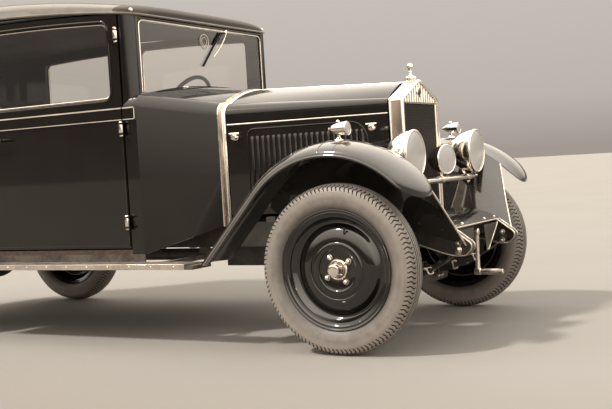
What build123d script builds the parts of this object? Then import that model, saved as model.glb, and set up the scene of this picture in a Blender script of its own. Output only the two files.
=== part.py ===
"""Late 1920s two-door saloon with disc wheels, a pediment radiator and separate wings.

Millimetres, +X forward, +Y left, +Z up. Every place is measured from the front axle's line
(x), the middle plane (y) and the ground (z). At export the car is shifted along X so that the
origin lies in the middle of its length, on the ground.
"""
from build123d import *
from math import atan2, cos, degrees, hypot, radians, sin, sqrt
import os

# Wheels and axles
WHEELBASE = 2800.0
TRACK = 1420.0
TYRE_R = 373.0
TYRE_W = 138.0
TYRE_SHOULDER_R = 357.0
TYRE_SHOULDER_W = 108.0
TYRE_WAIST_R = 312.0
RIM_SEAT_R = 243.0
RIM_WIDTH = 114.0
RIM_FLANGE_R = 262.0
RIM_FLANGE_T = 7.0
RIM_T = 6.0
RIM_STEP_R = 228.0
DISC_T = 5.0
HUB_R = 38.0
HUB_CAP_R = 27.0
HUB_CAP_REACH = 76.0
NUT_R = 11.0
NUT_CIRCLE_R = 64.0
NUT_COUNT = 4
NUT_LENGTH = 16.0
STUB_R = 20.0
STUB_REACH = 35.0
DRUM_R = 150.0
DRUM_T = 9.0
DRUM_WIDTH = 42.0
DRUM_FACE = -8.0
BACKPLATE_R = 146.0
BACKPLATE_T = 4.0
RUNNING_GAP = 0.05
SEAT_GAP = 0.3
MOVING_GAP = 6.0

# The pressed disc from the rim to the middle: radius, outboard offset of its face
DISC_STATIONS = [
    (237.0, 30.0),
    (214.0, 6.0),
    (200.0, 4.0),
    (176.0, 22.0),
    (150.0, 33.0),
    (129.0, 37.0),
    (125.0, 29.0),
    (119.0, 35.0),
    (104.0, 39.0),
    (92.0, 37.0),
    (88.0, 28.0),
    (38.0, 28.0),
]

# Front axle, king pins and track rod
KINGPIN_Y = 600.0
KINGPIN_R = 12.0
AXLE_EYE_R = 26.0
AXLE_EYE_H = 60.0
BEAM_BOTTOM_Z = 195.0
BEAM_H = 45.0
BEAM_W = 48.0
BEAM_FLAT_Y = 420.0
BEAM_LEVEL_END = 50.0
EAR_T = 14.0
ARM_LENGTH = 130.0
ARM_W = 30.0
ROD_PIN_R = 8.0
ROD_EYE_R = 16.0
ROD_EYE_H = 18.0
ROD_R = 8.5

# Rear axle
REAR_TUBE_R = 38.0
DIFF_R = 130.0
NOSE_R = 45.0
NOSE_REACH = 180.0

# Chassis frame
RAIL_Y = 300.0
RAIL_W = 44.0
RAIL_BOTTOM_Z = 440.0
RAIL_H = 120.0
RAIL_T = 6.0
RAIL_REAR_X = -WHEELBASE - 530
IRON_START_X = 150.0
IRON_TIP_X = 454.5
IRON_BEND_R = 431.0
IRON_EYE_Z = 411.0
IRON_EYE_X = 396.0
IRON_DEPTH = 25.0
MEMBER_W = 60.0
MEMBER_BOTTOM_Z = 480.0
MEMBER_TOP_Z = 545.0
MEMBER_X = [78.0, -760.0, -1500.0, -WHEELBASE + 550, -WHEELBASE - 230, -WHEELBASE - 490]
NOSE_MEMBER_X = 300.0

# Leaf springs: x of the middle, half length, z of the main leaf's middle, z of the eyes
SPRINGS = {
    "front": (0.0, 396.0, 271.5, 411.0),
    "rear": (-WHEELBASE, 520.0, 331.0, 411.0),
}
LEAF_COUNT = 5
LEAF_T = 7.0
LEAF_W = 38.0
LEAF_STEP = 0.17
SPRING_EYE_R = 16.0

# Power unit and driveline
ENGINE_FRONT_X = -80.0
ENGINE_REAR_X = -650.0
ENGINE_HALF_W = 150.0
ENGINE_BOTTOM_Z = 440.0
ENGINE_TOP_Z = 960.0
ENGINE_FOOT_X = [-140.0, -580.0]
GEARBOX_REAR_X = -1000.0
GEARBOX_HALF_W = 100.0
GEARBOX_BOTTOM_Z = 320.0
SHAFT_R = 32.0
PIPE_Y = 215.0
PIPE_Z = 440.0
PIPE_R = 22.0
PIPE_START = (-400.0, 720.0)
PIPE_END_X = -WHEELBASE - 620
SILENCER_X = (-2150.0, -1650.0)
SILENCER_R = 55.0
TANK_X = (MEMBER_X[-1] + MEMBER_W / 2 + SEAT_GAP, MEMBER_X[-2] - MEMBER_W / 2 - SEAT_GAP)
TANK_Y = (-262.0, 150.0)
TANK_Z = (400.0, 558.0)

# Radiator
RAD_FRONT_X = 116.5
RAD_REAR_X = 45.0
RAD_HALF_W = 220.5
RAD_SHOULDER_Z = 1117.0
RAD_APEX_Z = 1210.0
RAD_APEX_HALF_W = 40.0
RAD_OPENING_HALF_W = 185.5
RAD_OPENING_TOP_Z = 1096.0
RAD_CORE_FRONT_X = 107.0
CAP_X = 67.0
CAP_R = 27.0
CAP_H = 22.0
FINIAL_R = 15.0
FINIAL_TOP_Z = 1292.0

BODY_HALF_W = 652.0
BODY_T = 45.0

# Bonnet and scuttle sections: x, half width, z where the shoulder starts, shoulder's inner
# y and z, z of the crest, z of the bottom
BONNET_FRONT = (38.0, 222.0, 1088.0, 196.0, 1122.0, 1200.0, 600.0)
BAND = (-788.0, 360.0, 1092.0, 292.0, 1158.0, 1235.0, 560.0)
SCREEN_BASE = (-1110.0, BODY_HALF_W, 1165.0, BODY_HALF_W - 81, 1227.0, 1280.0, 440.0)
BONNET_T = 12.0
BONNET_HINGE_Z = 1050.0
BONNET_ROD_R = 4.0
BONNET_ROD_DROP = 1.0
BONNET_SIDE_ROD_R = 5.0
SCUTTLE_T = 25.0
LOUVRE_COUNT = 21
LOUVRE_FIRST_X = -649.0
LOUVRE_PITCH = 28.0
LOUVRE_W = 13.0
LOUVRE_PROUD = 9.0
LOUVRE_Z = (650.0, 986.0)

# Body
POST_REAR_X = -1185.0
BODY_REAR_X = -WHEELBASE - 550
BODY_CORNER_R = 260.0
BODY_BOTTOM_Z = 440.0
TAIL_BOTTOM_Z = 560.0
TAIL_START_X = -WHEELBASE - 200
DOOR_REAR_X = -2130.0
DOOR_BOTTOM_Z = 470.0
BELT_Z = (1102.0, 1164.5)
BELT_PROUD = 10.0
WINDOW_SILL_Z = 1210.0
WINDOW_CORNER_R = 40.0
DOOR_WINDOW_X = (-1262.0, -2062.0)
QUARTER_WINDOW_X = (-2215.0, -WHEELBASE - 60)
SCREEN_X = -1136.0
SCREEN_HALF_W = BODY_HALF_W - 81
SCREEN_BOTTOM_Z = 1205.0
SCREEN_TOP_Z = 1600.0
REAR_WINDOW_HALF_W = 330.0
REAR_WINDOW_Z = (1250.0, SCREEN_TOP_Z - 70)
GLASS_T = 5.0
GLASS_INSET = 22.0

# Drip moulding and roof crown: x and z at the screen, at the highest place and at the tail
DRIP = [(-1110.0, SCREEN_TOP_Z + 57), (-2150.0, SCREEN_TOP_Z + 100), (BODY_REAR_X, SCREEN_TOP_Z + 45)]
CROWN = [(-1110.0, SCREEN_TOP_Z + 90), (-2150.0, SCREEN_TOP_Z + 205), (BODY_REAR_X, SCREEN_TOP_Z + 100)]
ROOF_FRONT_X = -1085.0
ROOF_OVERHANG = 10.0
ROOF_T = 26.0
ROOF_SHOULDER_R = 170.0
ROOF_SAG = 42.0
RAIL_BELOW_DRIP = 37.0
DOOR_BELOW_DRIP = 43.0
WINDOW_BELOW_DRIP = 84.0

# Door hinges and handles
HINGE_X = -1190.0
HINGE_Y = BODY_HALF_W + 22
HINGE_Z = [SCREEN_TOP_Z - 80, 1060.0, 600.0]
HINGE_PIN_R = 5.0
HINGE_BARREL_R = 10.0
HINGE_BARREL_H = 44.0
HINGE_EAR_T = 8.0
HANDLE_X = -2075.0
HANDLE_Z = 1050.0

# Floor
FLOOR_Z = (560.0, 580.0)
SILL_TOP_Z = 462.0
SILL_INNER_Y = BODY_HALF_W - 92
FIREWALL_T = 12.0
DASH_X = (-1180.0, -1162.0)
DASH_BOTTOM_Z = 1075.0

# Steering wheel
STEER_WHEEL = (-1520.0, BODY_HALF_W - 313, 1200.0)
STEER_FOOT_Z = 800.0
STEER_WHEEL_R = 200.0
STEER_RIM_R = 12.0
STEER_HUB_R = 30.0
STEER_SHAFT_R = 10.0
COLUMN_R = 18.0
SPOKE_COUNT = 4
SPOKE_R = 7.0

# Front wings: a turned band about a line above the axle, with a straight tail
WING_CENTRE = (-16.0, 394.0)
WING_R = 536.0
WING_T = 6.0
WING_INNER_Y = 530.0
WING_CREST_Y = (620.0, 680.0)
WING_OUTER_Y = 800.0
WING_INNER_DROP = 34.0
WING_OUTER_DROP = 68.0
WING_NOSE_ANGLE = 31.0
WING_TAIL_ANGLE = 138.0
WING_NOSE_T = 10.0

# Rear wings
REAR_WING_R = 490.0
REAR_WING_ANGLES = (20.0, 186.0)
ARCH_R = 430.0
ARCH_PLATE_T = 6.0
ARCH_LAP = 20.0
ARCH_INNER_Y = TRACK / 2 - TYRE_W / 2 - 34

# Running boards
BOARD_Z = (380.0, 402.0)
BOARD_REAR_X = -WHEELBASE + 450
BOARD_ARM_X = [-1000.0, -1500.0, -2050.0]
BOARD_ARM_W = 40.0
BOARD_SKIRT_T = 6.0
BOARD_MAT_T = 4.0
BOARD_MAT_START = 40.0
BOARD_Y = (BODY_HALF_W, WING_OUTER_Y)

# Lamps
LAMP_LENS_X = 244.0
LAMP_Y = 390.0
LAMP_Z = 849.0
LAMP_R = 112.0
LAMP_DEPTH = 150.0
LENS_R = 104.0
LENS_T = 8.0
BAR_X = 196.0
BAR_Z = 720.0
BAR_R = 14.0
MIDDLE_LAMP = (240.0, 817.0)
MIDDLE_LAMP_R = 70.0
MIDDLE_LAMP_DEPTH = 118.0
SIDE_LAMP = (0.0, 660.0, 979.0)
SIDE_LAMP_R = 31.0
SIDE_LAMP_LENGTH = 95.0

# Starting handle
CRANK_Z = 463.0
CRANK_R = 11.0
CRANK_ARM_X = 360.0
CRANK_HANDLE_Z = 275.0
CRANK_TIP_X = 485.0

# Seats
SEAT_HALF_W = 255.0
SEAT_Y = BODY_HALF_W - BODY_T - 32 - SEAT_HALF_W
SEAT_X = (-1690.0, -2160.0)
SEAT_TOP_Z = 800.0
SEAT_BACK_X = (-2165.0, -2290.0)
SEAT_BACK_TOP_Z = 1290.0
BENCH_HALF_W = BODY_HALF_W - BODY_T - 62
BENCH_X = (-WHEELBASE + 240, -WHEELBASE - 260)
BENCH_TOP_Z = 860.0
BENCH_BACK_X = (-WHEELBASE - 265, -WHEELBASE - 425)
BENCH_BACK_TOP_Z = 1340.0

# Spare wheel and tail
SPARE_GAP = 15.0
SPARE_Z = 790.0
CARRIER_R = 60.0
PLATE_BAR_X = BODY_REAR_X - 10
PLATE_BAR_T = 4.0
PLATE_BAR_HALF_W = 230.0
PLATE_BAR_Z = (345.0, 395.0)
PLATE_HOLE_SPACING = 400.0
PLATE_HOLE_R = 3.5

# Reach of the blocks that cut right through the car
BEYOND = 9000.0

WHEEL_Y = TRACK / 2
SPARE_X = BODY_REAR_X - SPARE_GAP - TYRE_W / 2
FRONT_AXLE_X = (-(SPARE_X - TYRE_W / 2) - CRANK_TIP_X) / 2
RAIL_TOP_Z = RAIL_BOTTOM_Z + RAIL_H
RAIL_OUTER_Y = RAIL_Y + RAIL_W / 2
RAIL_INNER_Y = RAIL_Y - RAIL_W / 2
WEB_INNER_Y = RAIL_OUTER_Y - RAIL_T
IRON_BEND_Z = RAIL_TOP_Z - IRON_BEND_R


def block(x0, x1, y0, y1, z0, z1):
    """Box between two corners, given in either order."""
    size = Box(abs(x1 - x0), abs(y1 - y0), abs(z1 - z0))
    return Pos((x0 + x1) / 2, (y0 + y1) / 2, (z0 + z1) / 2) * size


def rod(start, end, radius):
    """Round bar from one point to another."""
    line = Vector(*end) - Vector(*start)
    plane = Plane(origin=start, z_dir=line)
    return extrude(plane * Circle(radius), amount=line.length)


def outline(start, *steps):
    """Closed flat face: a step is an end point, or the middle and end points of an arc."""
    edges = []
    here = start
    for step in steps:
        if isinstance(step[0], tuple):
            edges.append(ThreePointArc(here, step[0], step[1]))
            here = step[1]
        else:
            edges.append(Line(here, step))
            here = step
    if Vector(*here) != Vector(*start):
        edges.append(Line(here, start))
    return make_face(edges)


def along_x(face, x0, x1):
    """Prism of an outline drawn in y and z."""
    return extrude(Pos(x0, 0, 0) * (Plane.YZ * face), amount=x1 - x0, dir=(1, 0, 0))


def along_y(face, y0, y1):
    """Prism of an outline drawn in x and z."""
    return extrude(Pos(0, y0, 0) * (Plane.XZ * face), amount=y1 - y0, dir=(0, 1, 0))


def along_z(face, z0, z1):
    """Prism of an outline drawn in x and y."""
    return extrude(Pos(0, 0, z0) * face, amount=z1 - z0, dir=(0, 0, 1))


def turned_y(points, x, y, z):
    """Solid of revolution about a line along Y, from radius and y pairs."""
    face = make_face(Polyline(*points, close=True))
    return Pos(x, y, z) * revolve(face, axis=Axis.Y)


def turned_x(face, x, y, z):
    """Solid of revolution about a line along X, from an outline in x and radius."""
    return Pos(x, y, z) * revolve(face, axis=Axis.X)


def other_side(shape):
    """The same piece on the other side of the car."""
    return mirror(shape, about=Plane.XZ)


def both(shape):
    """A piece and its twin on the other side, as two solids."""
    return Compound(children=[*shape.solids(), *other_side(shape).solids()])


def largest(shape):
    """The biggest solid of a shape that a cut has parted."""
    return max(shape.solids(), key=lambda solid: solid.volume)


# Wheels. Each is drawn with its outboard side towards +Y, about its own centre.
def tyre_solid():
    """Tyre with round sidewalls and a crowned tread, seated on the rim."""
    half_seat = RIM_WIDTH / 2 - RIM_FLANGE_T
    half_w = TYRE_W / 2
    half_shoulder = TYRE_SHOULDER_W / 2
    section = outline(
        (RIM_SEAT_R, -half_seat),
        (RIM_FLANGE_R, -half_seat),
        ((TYRE_WAIST_R, -half_w), (TYRE_SHOULDER_R, -half_shoulder)),
        ((TYRE_R, 0.0), (TYRE_SHOULDER_R, half_shoulder)),
        ((TYRE_WAIST_R, half_w), (RIM_FLANGE_R, half_seat)),
        (RIM_SEAT_R, half_seat),
    )
    return revolve(section, axis=Axis.Y)


def ring(outer_r, inner_r, y0, y1):
    """Plain ring about Y."""
    points = [(inner_r, y0), (outer_r, y0), (outer_r, y1), (inner_r, y1)]
    return turned_y(points, 0, 0, 0)


def disc_wheel_solid():
    """Rim and pressed disc."""
    half = RIM_WIDTH / 2
    barrel_r = RIM_SEAT_R - RIM_T
    rim = ring(RIM_SEAT_R, barrel_r, -half, half)
    rim += ring(RIM_FLANGE_R, barrel_r, half - RIM_FLANGE_T, half)
    rim += ring(RIM_FLANGE_R, barrel_r, -half, -half + RIM_FLANGE_T)
    rim += ring(RIM_SEAT_R - 1, RIM_STEP_R, half - 20, half - 12)
    face = DISC_STATIONS + [(r, y - DISC_T) for r, y in reversed(DISC_STATIONS)]
    return rim + turned_y(face, 0, 0, 0)


def road_wheel_solid():
    """Disc wheel with its hub, hub cap, nuts and brake drum."""
    plate_y = DISC_STATIONS[-1][1]
    drum_back = DRUM_FACE - DRUM_WIDTH
    hub = [
        (0.0, drum_back + DRUM_T),
        (HUB_R + 4, drum_back + DRUM_T),
        (HUB_R + 4, plate_y + 4),
        (HUB_CAP_R + 6, plate_y + 12),
        (HUB_CAP_R, plate_y + 20),
        (HUB_CAP_R, HUB_CAP_REACH - 5),
        (HUB_CAP_R - 5, HUB_CAP_REACH),
        (0.0, HUB_CAP_REACH),
    ]
    wheel = disc_wheel_solid() + turned_y(hub, 0, 0, 0)
    wheel += ring(DRUM_R, HUB_R, DRUM_FACE - DRUM_T, DRUM_FACE)
    wheel += ring(DRUM_R, DRUM_R - DRUM_T, drum_back, DRUM_FACE)
    for index in range(NUT_COUNT):
        angle = radians(45 + 360 / NUT_COUNT * index)
        x = NUT_CIRCLE_R * cos(angle)
        z = NUT_CIRCLE_R * sin(angle)
        wheel += rod((x, DRUM_FACE - DRUM_T, z), (x, plate_y + NUT_LENGTH, z), NUT_R)
    bore = rod((0, drum_back, 0), (0, STUB_REACH + 2, 0), STUB_R + RUNNING_GAP)
    return wheel - bore


def on_wheel(shape, x, y):
    """Place a wheel piece on an axle end: y below zero turns its outboard side out."""
    turned = shape if y > 0 else other_side(shape)
    return Pos(x, y, TYRE_R) * turned


def stub_and_backplate(inner_y):
    """Left stub axle and brake plate, from the inner y out into the hub."""
    plate_y = WHEEL_Y + DRUM_FACE - DRUM_WIDTH - MOVING_GAP
    x = 0.0
    stub = rod((x, inner_y, TYRE_R), (x, WHEEL_Y + STUB_REACH, TYRE_R), STUB_R)
    return stub + rod((x, plate_y - BACKPLATE_T, TYRE_R), (x, plate_y, TYRE_R), BACKPLATE_R)


# Front axle
def knuckle():
    """Left steering knuckle: two ears round the axle's eye, king pin, stub and arm."""
    plate_y = WHEEL_Y + DRUM_FACE - DRUM_WIDTH - MOVING_GAP
    web_y = KINGPIN_Y + AXLE_EYE_R + MOVING_GAP
    eye_top = TYRE_R + AXLE_EYE_H / 2
    eye_bottom = TYRE_R - AXLE_EYE_H / 2
    top = eye_top + SEAT_GAP + EAR_T
    bottom = eye_bottom - SEAT_GAP - EAR_T
    body = block(-AXLE_EYE_R, AXLE_EYE_R, web_y, plate_y, bottom, top)
    for low, high in [(eye_top + SEAT_GAP, top), (bottom, eye_bottom - SEAT_GAP)]:
        body += rod((0, KINGPIN_Y, low), (0, KINGPIN_Y, high), AXLE_EYE_R)
        body += block(-AXLE_EYE_R, AXLE_EYE_R, KINGPIN_Y, web_y + 1, low, high)
    body += rod((0, KINGPIN_Y, bottom), (0, KINGPIN_Y, top), KINGPIN_R)
    arm_top = bottom + EAR_T
    body += block(-ARM_LENGTH, 0, KINGPIN_Y - ARM_W / 2, KINGPIN_Y + ARM_W / 2, bottom, arm_top)
    body += rod((-ARM_LENGTH, KINGPIN_Y, bottom), (-ARM_LENGTH, KINGPIN_Y, arm_top), ROD_EYE_R)
    pin_top = arm_top + SEAT_GAP + ROD_EYE_H + 4
    body += rod((-ARM_LENGTH, KINGPIN_Y, bottom), (-ARM_LENGTH, KINGPIN_Y, pin_top), ROD_PIN_R)
    return body + stub_and_backplate(web_y)


def track_rod():
    """Rod that joins the two steering arms."""
    low = TYRE_R - AXLE_EYE_H / 2
    high = low + ROD_EYE_H
    middle = (low + high) / 2
    ends = [-KINGPIN_Y, KINGPIN_Y]
    body = rod((-ARM_LENGTH, ends[0], middle), (-ARM_LENGTH, ends[1], middle), ROD_R)
    for y in ends:
        body += rod((-ARM_LENGTH, y, low), (-ARM_LENGTH, y, high), ROD_EYE_R)
    for y in ends:
        body -= rod((-ARM_LENGTH, y, low - 5), (-ARM_LENGTH, y, high + 5), ROD_PIN_R + RUNNING_GAP)
    return body


def front_axle():
    """Dropped beam between two king pin eyes."""
    eye_y = KINGPIN_Y - AXLE_EYE_R + 6
    top_z = BEAM_BOTTOM_Z + BEAM_H
    bend_y = eye_y - BEAM_LEVEL_END
    high = TYRE_R + BEAM_H / 2
    low = TYRE_R - BEAM_H / 2
    beam = outline(
        (-eye_y, high),
        (-bend_y, high),
        (-BEAM_FLAT_Y, top_z),
        (BEAM_FLAT_Y, top_z),
        (bend_y, high),
        (eye_y, high),
        (eye_y, low),
        (bend_y, low),
        (BEAM_FLAT_Y + 20, BEAM_BOTTOM_Z),
        (-BEAM_FLAT_Y - 20, BEAM_BOTTOM_Z),
        (-bend_y, low),
        (-eye_y, low),
    )
    axle = along_x(beam, -BEAM_W / 2, BEAM_W / 2)
    for y in [-KINGPIN_Y, KINGPIN_Y]:
        low = (0, y, TYRE_R - AXLE_EYE_H / 2)
        high = (0, y, TYRE_R + AXLE_EYE_H / 2)
        axle += rod(low, high, AXLE_EYE_R)
    for y in [-KINGPIN_Y, KINGPIN_Y]:
        low = (0, y, TYRE_R - AXLE_EYE_H)
        high = (0, y, TYRE_R + AXLE_EYE_H)
        axle -= rod(low, high, KINGPIN_R + RUNNING_GAP)
    return axle


def rear_axle():
    """Axle tube with its differential, brake plates and stub ends."""
    plate_y = WHEEL_Y + DRUM_FACE - DRUM_WIDTH - MOVING_GAP
    axle = rod((0, -plate_y, TYRE_R), (0, plate_y, TYRE_R), REAR_TUBE_R)
    axle += Pos(0, 0, TYRE_R) * Sphere(DIFF_R)
    axle += rod((0, 0, TYRE_R), (NOSE_REACH, 0, TYRE_R), NOSE_R)
    end = stub_and_backplate(plate_y - 10)
    axle += end
    axle += other_side(end)
    return Pos(-WHEELBASE, 0, 0) * axle


# Chassis
def iron_top_z(x):
    """Height of the frame's top edge, which bends down into the dumb iron."""
    if x <= IRON_START_X:
        return RAIL_TOP_Z
    return IRON_BEND_Z + sqrt(IRON_BEND_R**2 - (x - IRON_START_X) ** 2)


def frame_rail():
    """Left side rail: a channel open to the inside, with the dumb iron at its front."""
    crown_x = IRON_TIP_X - 28
    mid_x = (IRON_START_X + crown_x) / 2
    side = outline(
        (RAIL_REAR_X, RAIL_BOTTOM_Z),
        (RAIL_REAR_X, RAIL_TOP_Z),
        (IRON_START_X, RAIL_TOP_Z),
        ((mid_x, iron_top_z(mid_x)), (crown_x, iron_top_z(crown_x))),
        ((IRON_TIP_X, IRON_EYE_Z + 20), (IRON_EYE_X + 24, IRON_EYE_Z - IRON_DEPTH)),
        (IRON_EYE_X - 30, IRON_EYE_Z - IRON_DEPTH),
        (IRON_EYE_X - 200, RAIL_BOTTOM_Z),
    )
    rail = along_y(side, RAIL_INNER_Y, RAIL_OUTER_Y)
    hollow = along_y(offset(side, amount=-RAIL_T), RAIL_INNER_Y - 1, WEB_INNER_Y)
    slot = block(IRON_EYE_X - 262, IRON_EYE_X - 2, RAIL_INNER_Y - 1, WEB_INNER_Y, 350, IRON_EYE_Z)
    rail = rail - hollow - slot
    pin = rod((IRON_EYE_X, RAIL_INNER_Y, IRON_EYE_Z), (IRON_EYE_X, RAIL_OUTER_Y + 6, IRON_EYE_Z), 10)
    rail += pin
    for name, (x, half, _, eye_z) in SPRINGS.items():
        ends = [x - half] if name == "front" else [x - half, x + half]
        for eye_x in ends:
            for y0, y1 in [(RAIL_INNER_Y - RAIL_T, RAIL_INNER_Y), (WEB_INNER_Y, RAIL_OUTER_Y)]:
                rail += block(eye_x - 20, eye_x + 20, y0, y1, eye_z - 22, RAIL_BOTTOM_Z + RAIL_T)
    return rail


def spring(name):
    """Left leaf spring with its eyes between the hangers' cheeks."""
    x, half, low_z, eye_z = SPRINGS[name]
    y0 = WEB_INNER_Y - LEAF_W
    rise = eye_z - low_z
    body = None
    for index in range(LEAF_COUNT):
        reach = half * (1 - LEAF_STEP * index)
        end_rise = rise * (reach / half) ** 2
        top = LEAF_T / 2 - LEAF_T * index
        bottom = top - LEAF_T
        leaf = outline(
            (x - reach, low_z + end_rise + top),
            ((x, low_z + top), (x + reach, low_z + end_rise + top)),
            (x + reach, low_z + end_rise + bottom),
            ((x, low_z + bottom), (x - reach, low_z + end_rise + bottom)),
        )
        solid = along_y(leaf, y0, WEB_INNER_Y)
        body = solid if body is None else body + solid
    for eye_x in [x - half, x + half]:
        body += rod((eye_x, y0, eye_z), (eye_x, WEB_INNER_Y, eye_z), SPRING_EYE_R)
    if name == "front":
        body -= rod((x + half, y0 - 1, eye_z), (x + half, WEB_INNER_Y + 1, eye_z), 10)
    return body


def cross_members():
    """Members between the rails, each its own solid, and the bar that carries the plate."""
    members = []
    for x in MEMBER_X:
        width = WEB_INNER_Y
        member = block(x - MEMBER_W / 2, x + MEMBER_W / 2, -width, width, MEMBER_BOTTOM_Z, MEMBER_TOP_Z)
        members.append(member)
    tail = members.pop()
    bar_back = PLATE_BAR_X - PLATE_BAR_T
    for y in [-PLATE_HOLE_SPACING / 4, PLATE_HOLE_SPACING / 4]:
        tail += block(PLATE_BAR_X, MEMBER_X[-1], y - 8, y + 8, PLATE_BAR_Z[0], MEMBER_BOTTOM_Z + 10)
    tail += block(bar_back, PLATE_BAR_X, -PLATE_BAR_HALF_W, PLATE_BAR_HALF_W, *PLATE_BAR_Z)
    hole_z = sum(PLATE_BAR_Z) / 2
    for y in [-PLATE_HOLE_SPACING / 2, PLATE_HOLE_SPACING / 2]:
        tail -= rod((bar_back - 5, y, hole_z), (PLATE_BAR_X + 5, y, hole_z), PLATE_HOLE_R)
    nose = block(
        NOSE_MEMBER_X - 15, NOSE_MEMBER_X + 15, -WEB_INNER_Y, WEB_INNER_Y, CRANK_Z - 22, CRANK_Z + 30
    )
    nose -= rod((0, 0, CRANK_Z), (IRON_TIP_X, 0, CRANK_Z), CRANK_R + SEAT_GAP)
    return Compound(children=[solid for item in [*members, tail, nose] for solid in item.solids()])


def engine():
    """Plain block at the engine's place and size, with feet on the rails."""
    body = block(
        ENGINE_REAR_X, ENGINE_FRONT_X, -ENGINE_HALF_W, ENGINE_HALF_W, ENGINE_BOTTOM_Z, ENGINE_TOP_Z
    )
    for x in ENGINE_FOOT_X:
        body += block(x - 25, x + 25, -RAIL_OUTER_Y, RAIL_OUTER_Y, RAIL_TOP_Z, RAIL_TOP_Z + 25)
    return body


def driveline():
    """Gearbox and propeller shaft tube."""
    body = block(
        GEARBOX_REAR_X,
        ENGINE_REAR_X,
        -GEARBOX_HALF_W,
        GEARBOX_HALF_W,
        GEARBOX_BOTTOM_Z,
        MEMBER_BOTTOM_Z - 5,
    )
    return body + rod((GEARBOX_REAR_X, 0, TYRE_R), (NOSE_REACH - WHEELBASE, 0, TYRE_R), SHAFT_R)


def exhaust():
    """Down pipe, silencer and tail pipe."""
    start_x, start_z = PIPE_START
    path = FilletPolyline(
        (start_x, ENGINE_HALF_W, start_z),
        (start_x, PIPE_Y, start_z),
        (start_x, PIPE_Y, PIPE_Z),
        (PIPE_END_X, PIPE_Y, PIPE_Z),
        radius=[50, 80],
    )
    section = Plane(origin=path @ 0, z_dir=path % 0) * Circle(PIPE_R)
    body = sweep(section, path=path)
    silencer = rod((SILENCER_X[0], PIPE_Y, PIPE_Z), (SILENCER_X[1], PIPE_Y, PIPE_Z), SILENCER_R)
    return body + silencer


def fuel_tank():
    """Tank between the last two members, hung from the floor."""
    return block(TANK_X[0], TANK_X[1], TANK_Y[0], TANK_Y[1], TANK_Z[0], FLOOR_Z[0])


def starting_handle():
    """Starting handle that rests in the front member's bearing."""
    arm = CRANK_ARM_X
    body = rod((ENGINE_FRONT_X, 0, CRANK_Z), (arm + CRANK_R, 0, CRANK_Z), CRANK_R)
    body += rod((arm, 0, CRANK_Z), (arm, 0, CRANK_HANDLE_Z), CRANK_R - 1)
    body += rod((arm, 0, CRANK_HANDLE_Z), (CRANK_TIP_X, 0, CRANK_HANDLE_Z), CRANK_R + 2)
    for z in [CRANK_Z, CRANK_HANDLE_Z]:
        half = CRANK_R + 3
        body += block(arm - half, arm + half, -half, half, z - half, z + half)
    return body


# Radiator
def radiator_shell():
    """Plated shell with a pediment, filler cap and plain finial."""
    face = outline(
        (-RAD_HALF_W, MEMBER_TOP_Z),
        (-RAD_HALF_W, RAD_SHOULDER_Z),
        (-RAD_APEX_HALF_W, RAD_APEX_Z - 14),
        ((0.0, RAD_APEX_Z), (RAD_APEX_HALF_W, RAD_APEX_Z - 14)),
        (RAD_HALF_W, RAD_SHOULDER_Z),
        (RAD_HALF_W, MEMBER_TOP_Z),
    )
    shell = along_x(face, RAD_REAR_X, RAD_FRONT_X)
    base_z = MEMBER_TOP_Z + 15
    shell -= block(0, 200, -RAD_OPENING_HALF_W, RAD_OPENING_HALF_W, base_z, RAD_OPENING_TOP_Z)
    cap_z = RAD_APEX_Z - 6
    shell += rod((CAP_X, 0, cap_z), (CAP_X, 0, cap_z + CAP_H), CAP_R)
    shell += rod((CAP_X, 0, cap_z), (CAP_X, 0, FINIAL_TOP_Z - FINIAL_R), FINIAL_R / 2)
    return shell + Pos(CAP_X, 0, FINIAL_TOP_Z - FINIAL_R) * Sphere(FINIAL_R)


def radiator_core():
    """Core that fills the shell's opening."""
    base_z = MEMBER_TOP_Z + 15
    half = RAD_OPENING_HALF_W
    return block(RAD_REAR_X + 7, RAD_CORE_FRONT_X, -half, half, base_z, RAD_OPENING_TOP_Z)


# Bonnet and scuttle
def arch_face(section, inset=0.0, bottom_z=None):
    """Upright arch outline at a section's x: plain sides, round shoulders, low crest."""
    x, half_w, side_z, shoulder_y, shoulder_z, crest_z, low_z = section
    half_w -= inset
    shoulder_y -= inset
    shoulder_z -= inset
    crest_z -= inset
    side_z -= inset / 2
    low_z = low_z if bottom_z is None else bottom_z
    mid_y = shoulder_y + (half_w - shoulder_y) * 0.76
    mid_z = side_z + (shoulder_z - side_z) * 0.70
    face = outline(
        (-half_w, low_z),
        (-half_w, side_z),
        ((-mid_y, mid_z), (-shoulder_y, shoulder_z)),
        ((0.0, crest_z), (shoulder_y, shoulder_z)),
        ((mid_y, mid_z), (half_w, side_z)),
        (half_w, low_z),
    )
    return Pos(x, 0, 0) * (Plane.YZ * face)


def arch_loft(front, rear, inset=0.0, bottom_z=None):
    """Solid between two arch outlines, with straight lines from one to the other."""
    faces = [arch_face(rear, inset, bottom_z), arch_face(front, inset, bottom_z)]
    return loft(faces, ruled=True)


def section_at(front, rear, x):
    """Arch section at an x between or beyond two others, on the same straight lines."""
    share = (x - rear[0]) / (front[0] - rear[0])
    return (x, *[low + (high - low) * share for high, low in zip(front[1:], rear[1:])])


BONNET_REAR = section_at(BONNET_FRONT, BAND, BAND[0] + MOVING_GAP)


def bonnet_axis_z(x):
    """Height of the middle hinge rod's line, just under the crest."""
    share = (x - BONNET_REAR[0]) / (BONNET_FRONT[0] - BONNET_REAR[0])
    crest = BONNET_REAR[5] + (BONNET_FRONT[5] - BONNET_REAR[5]) * share
    return crest - BONNET_ROD_DROP


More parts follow.
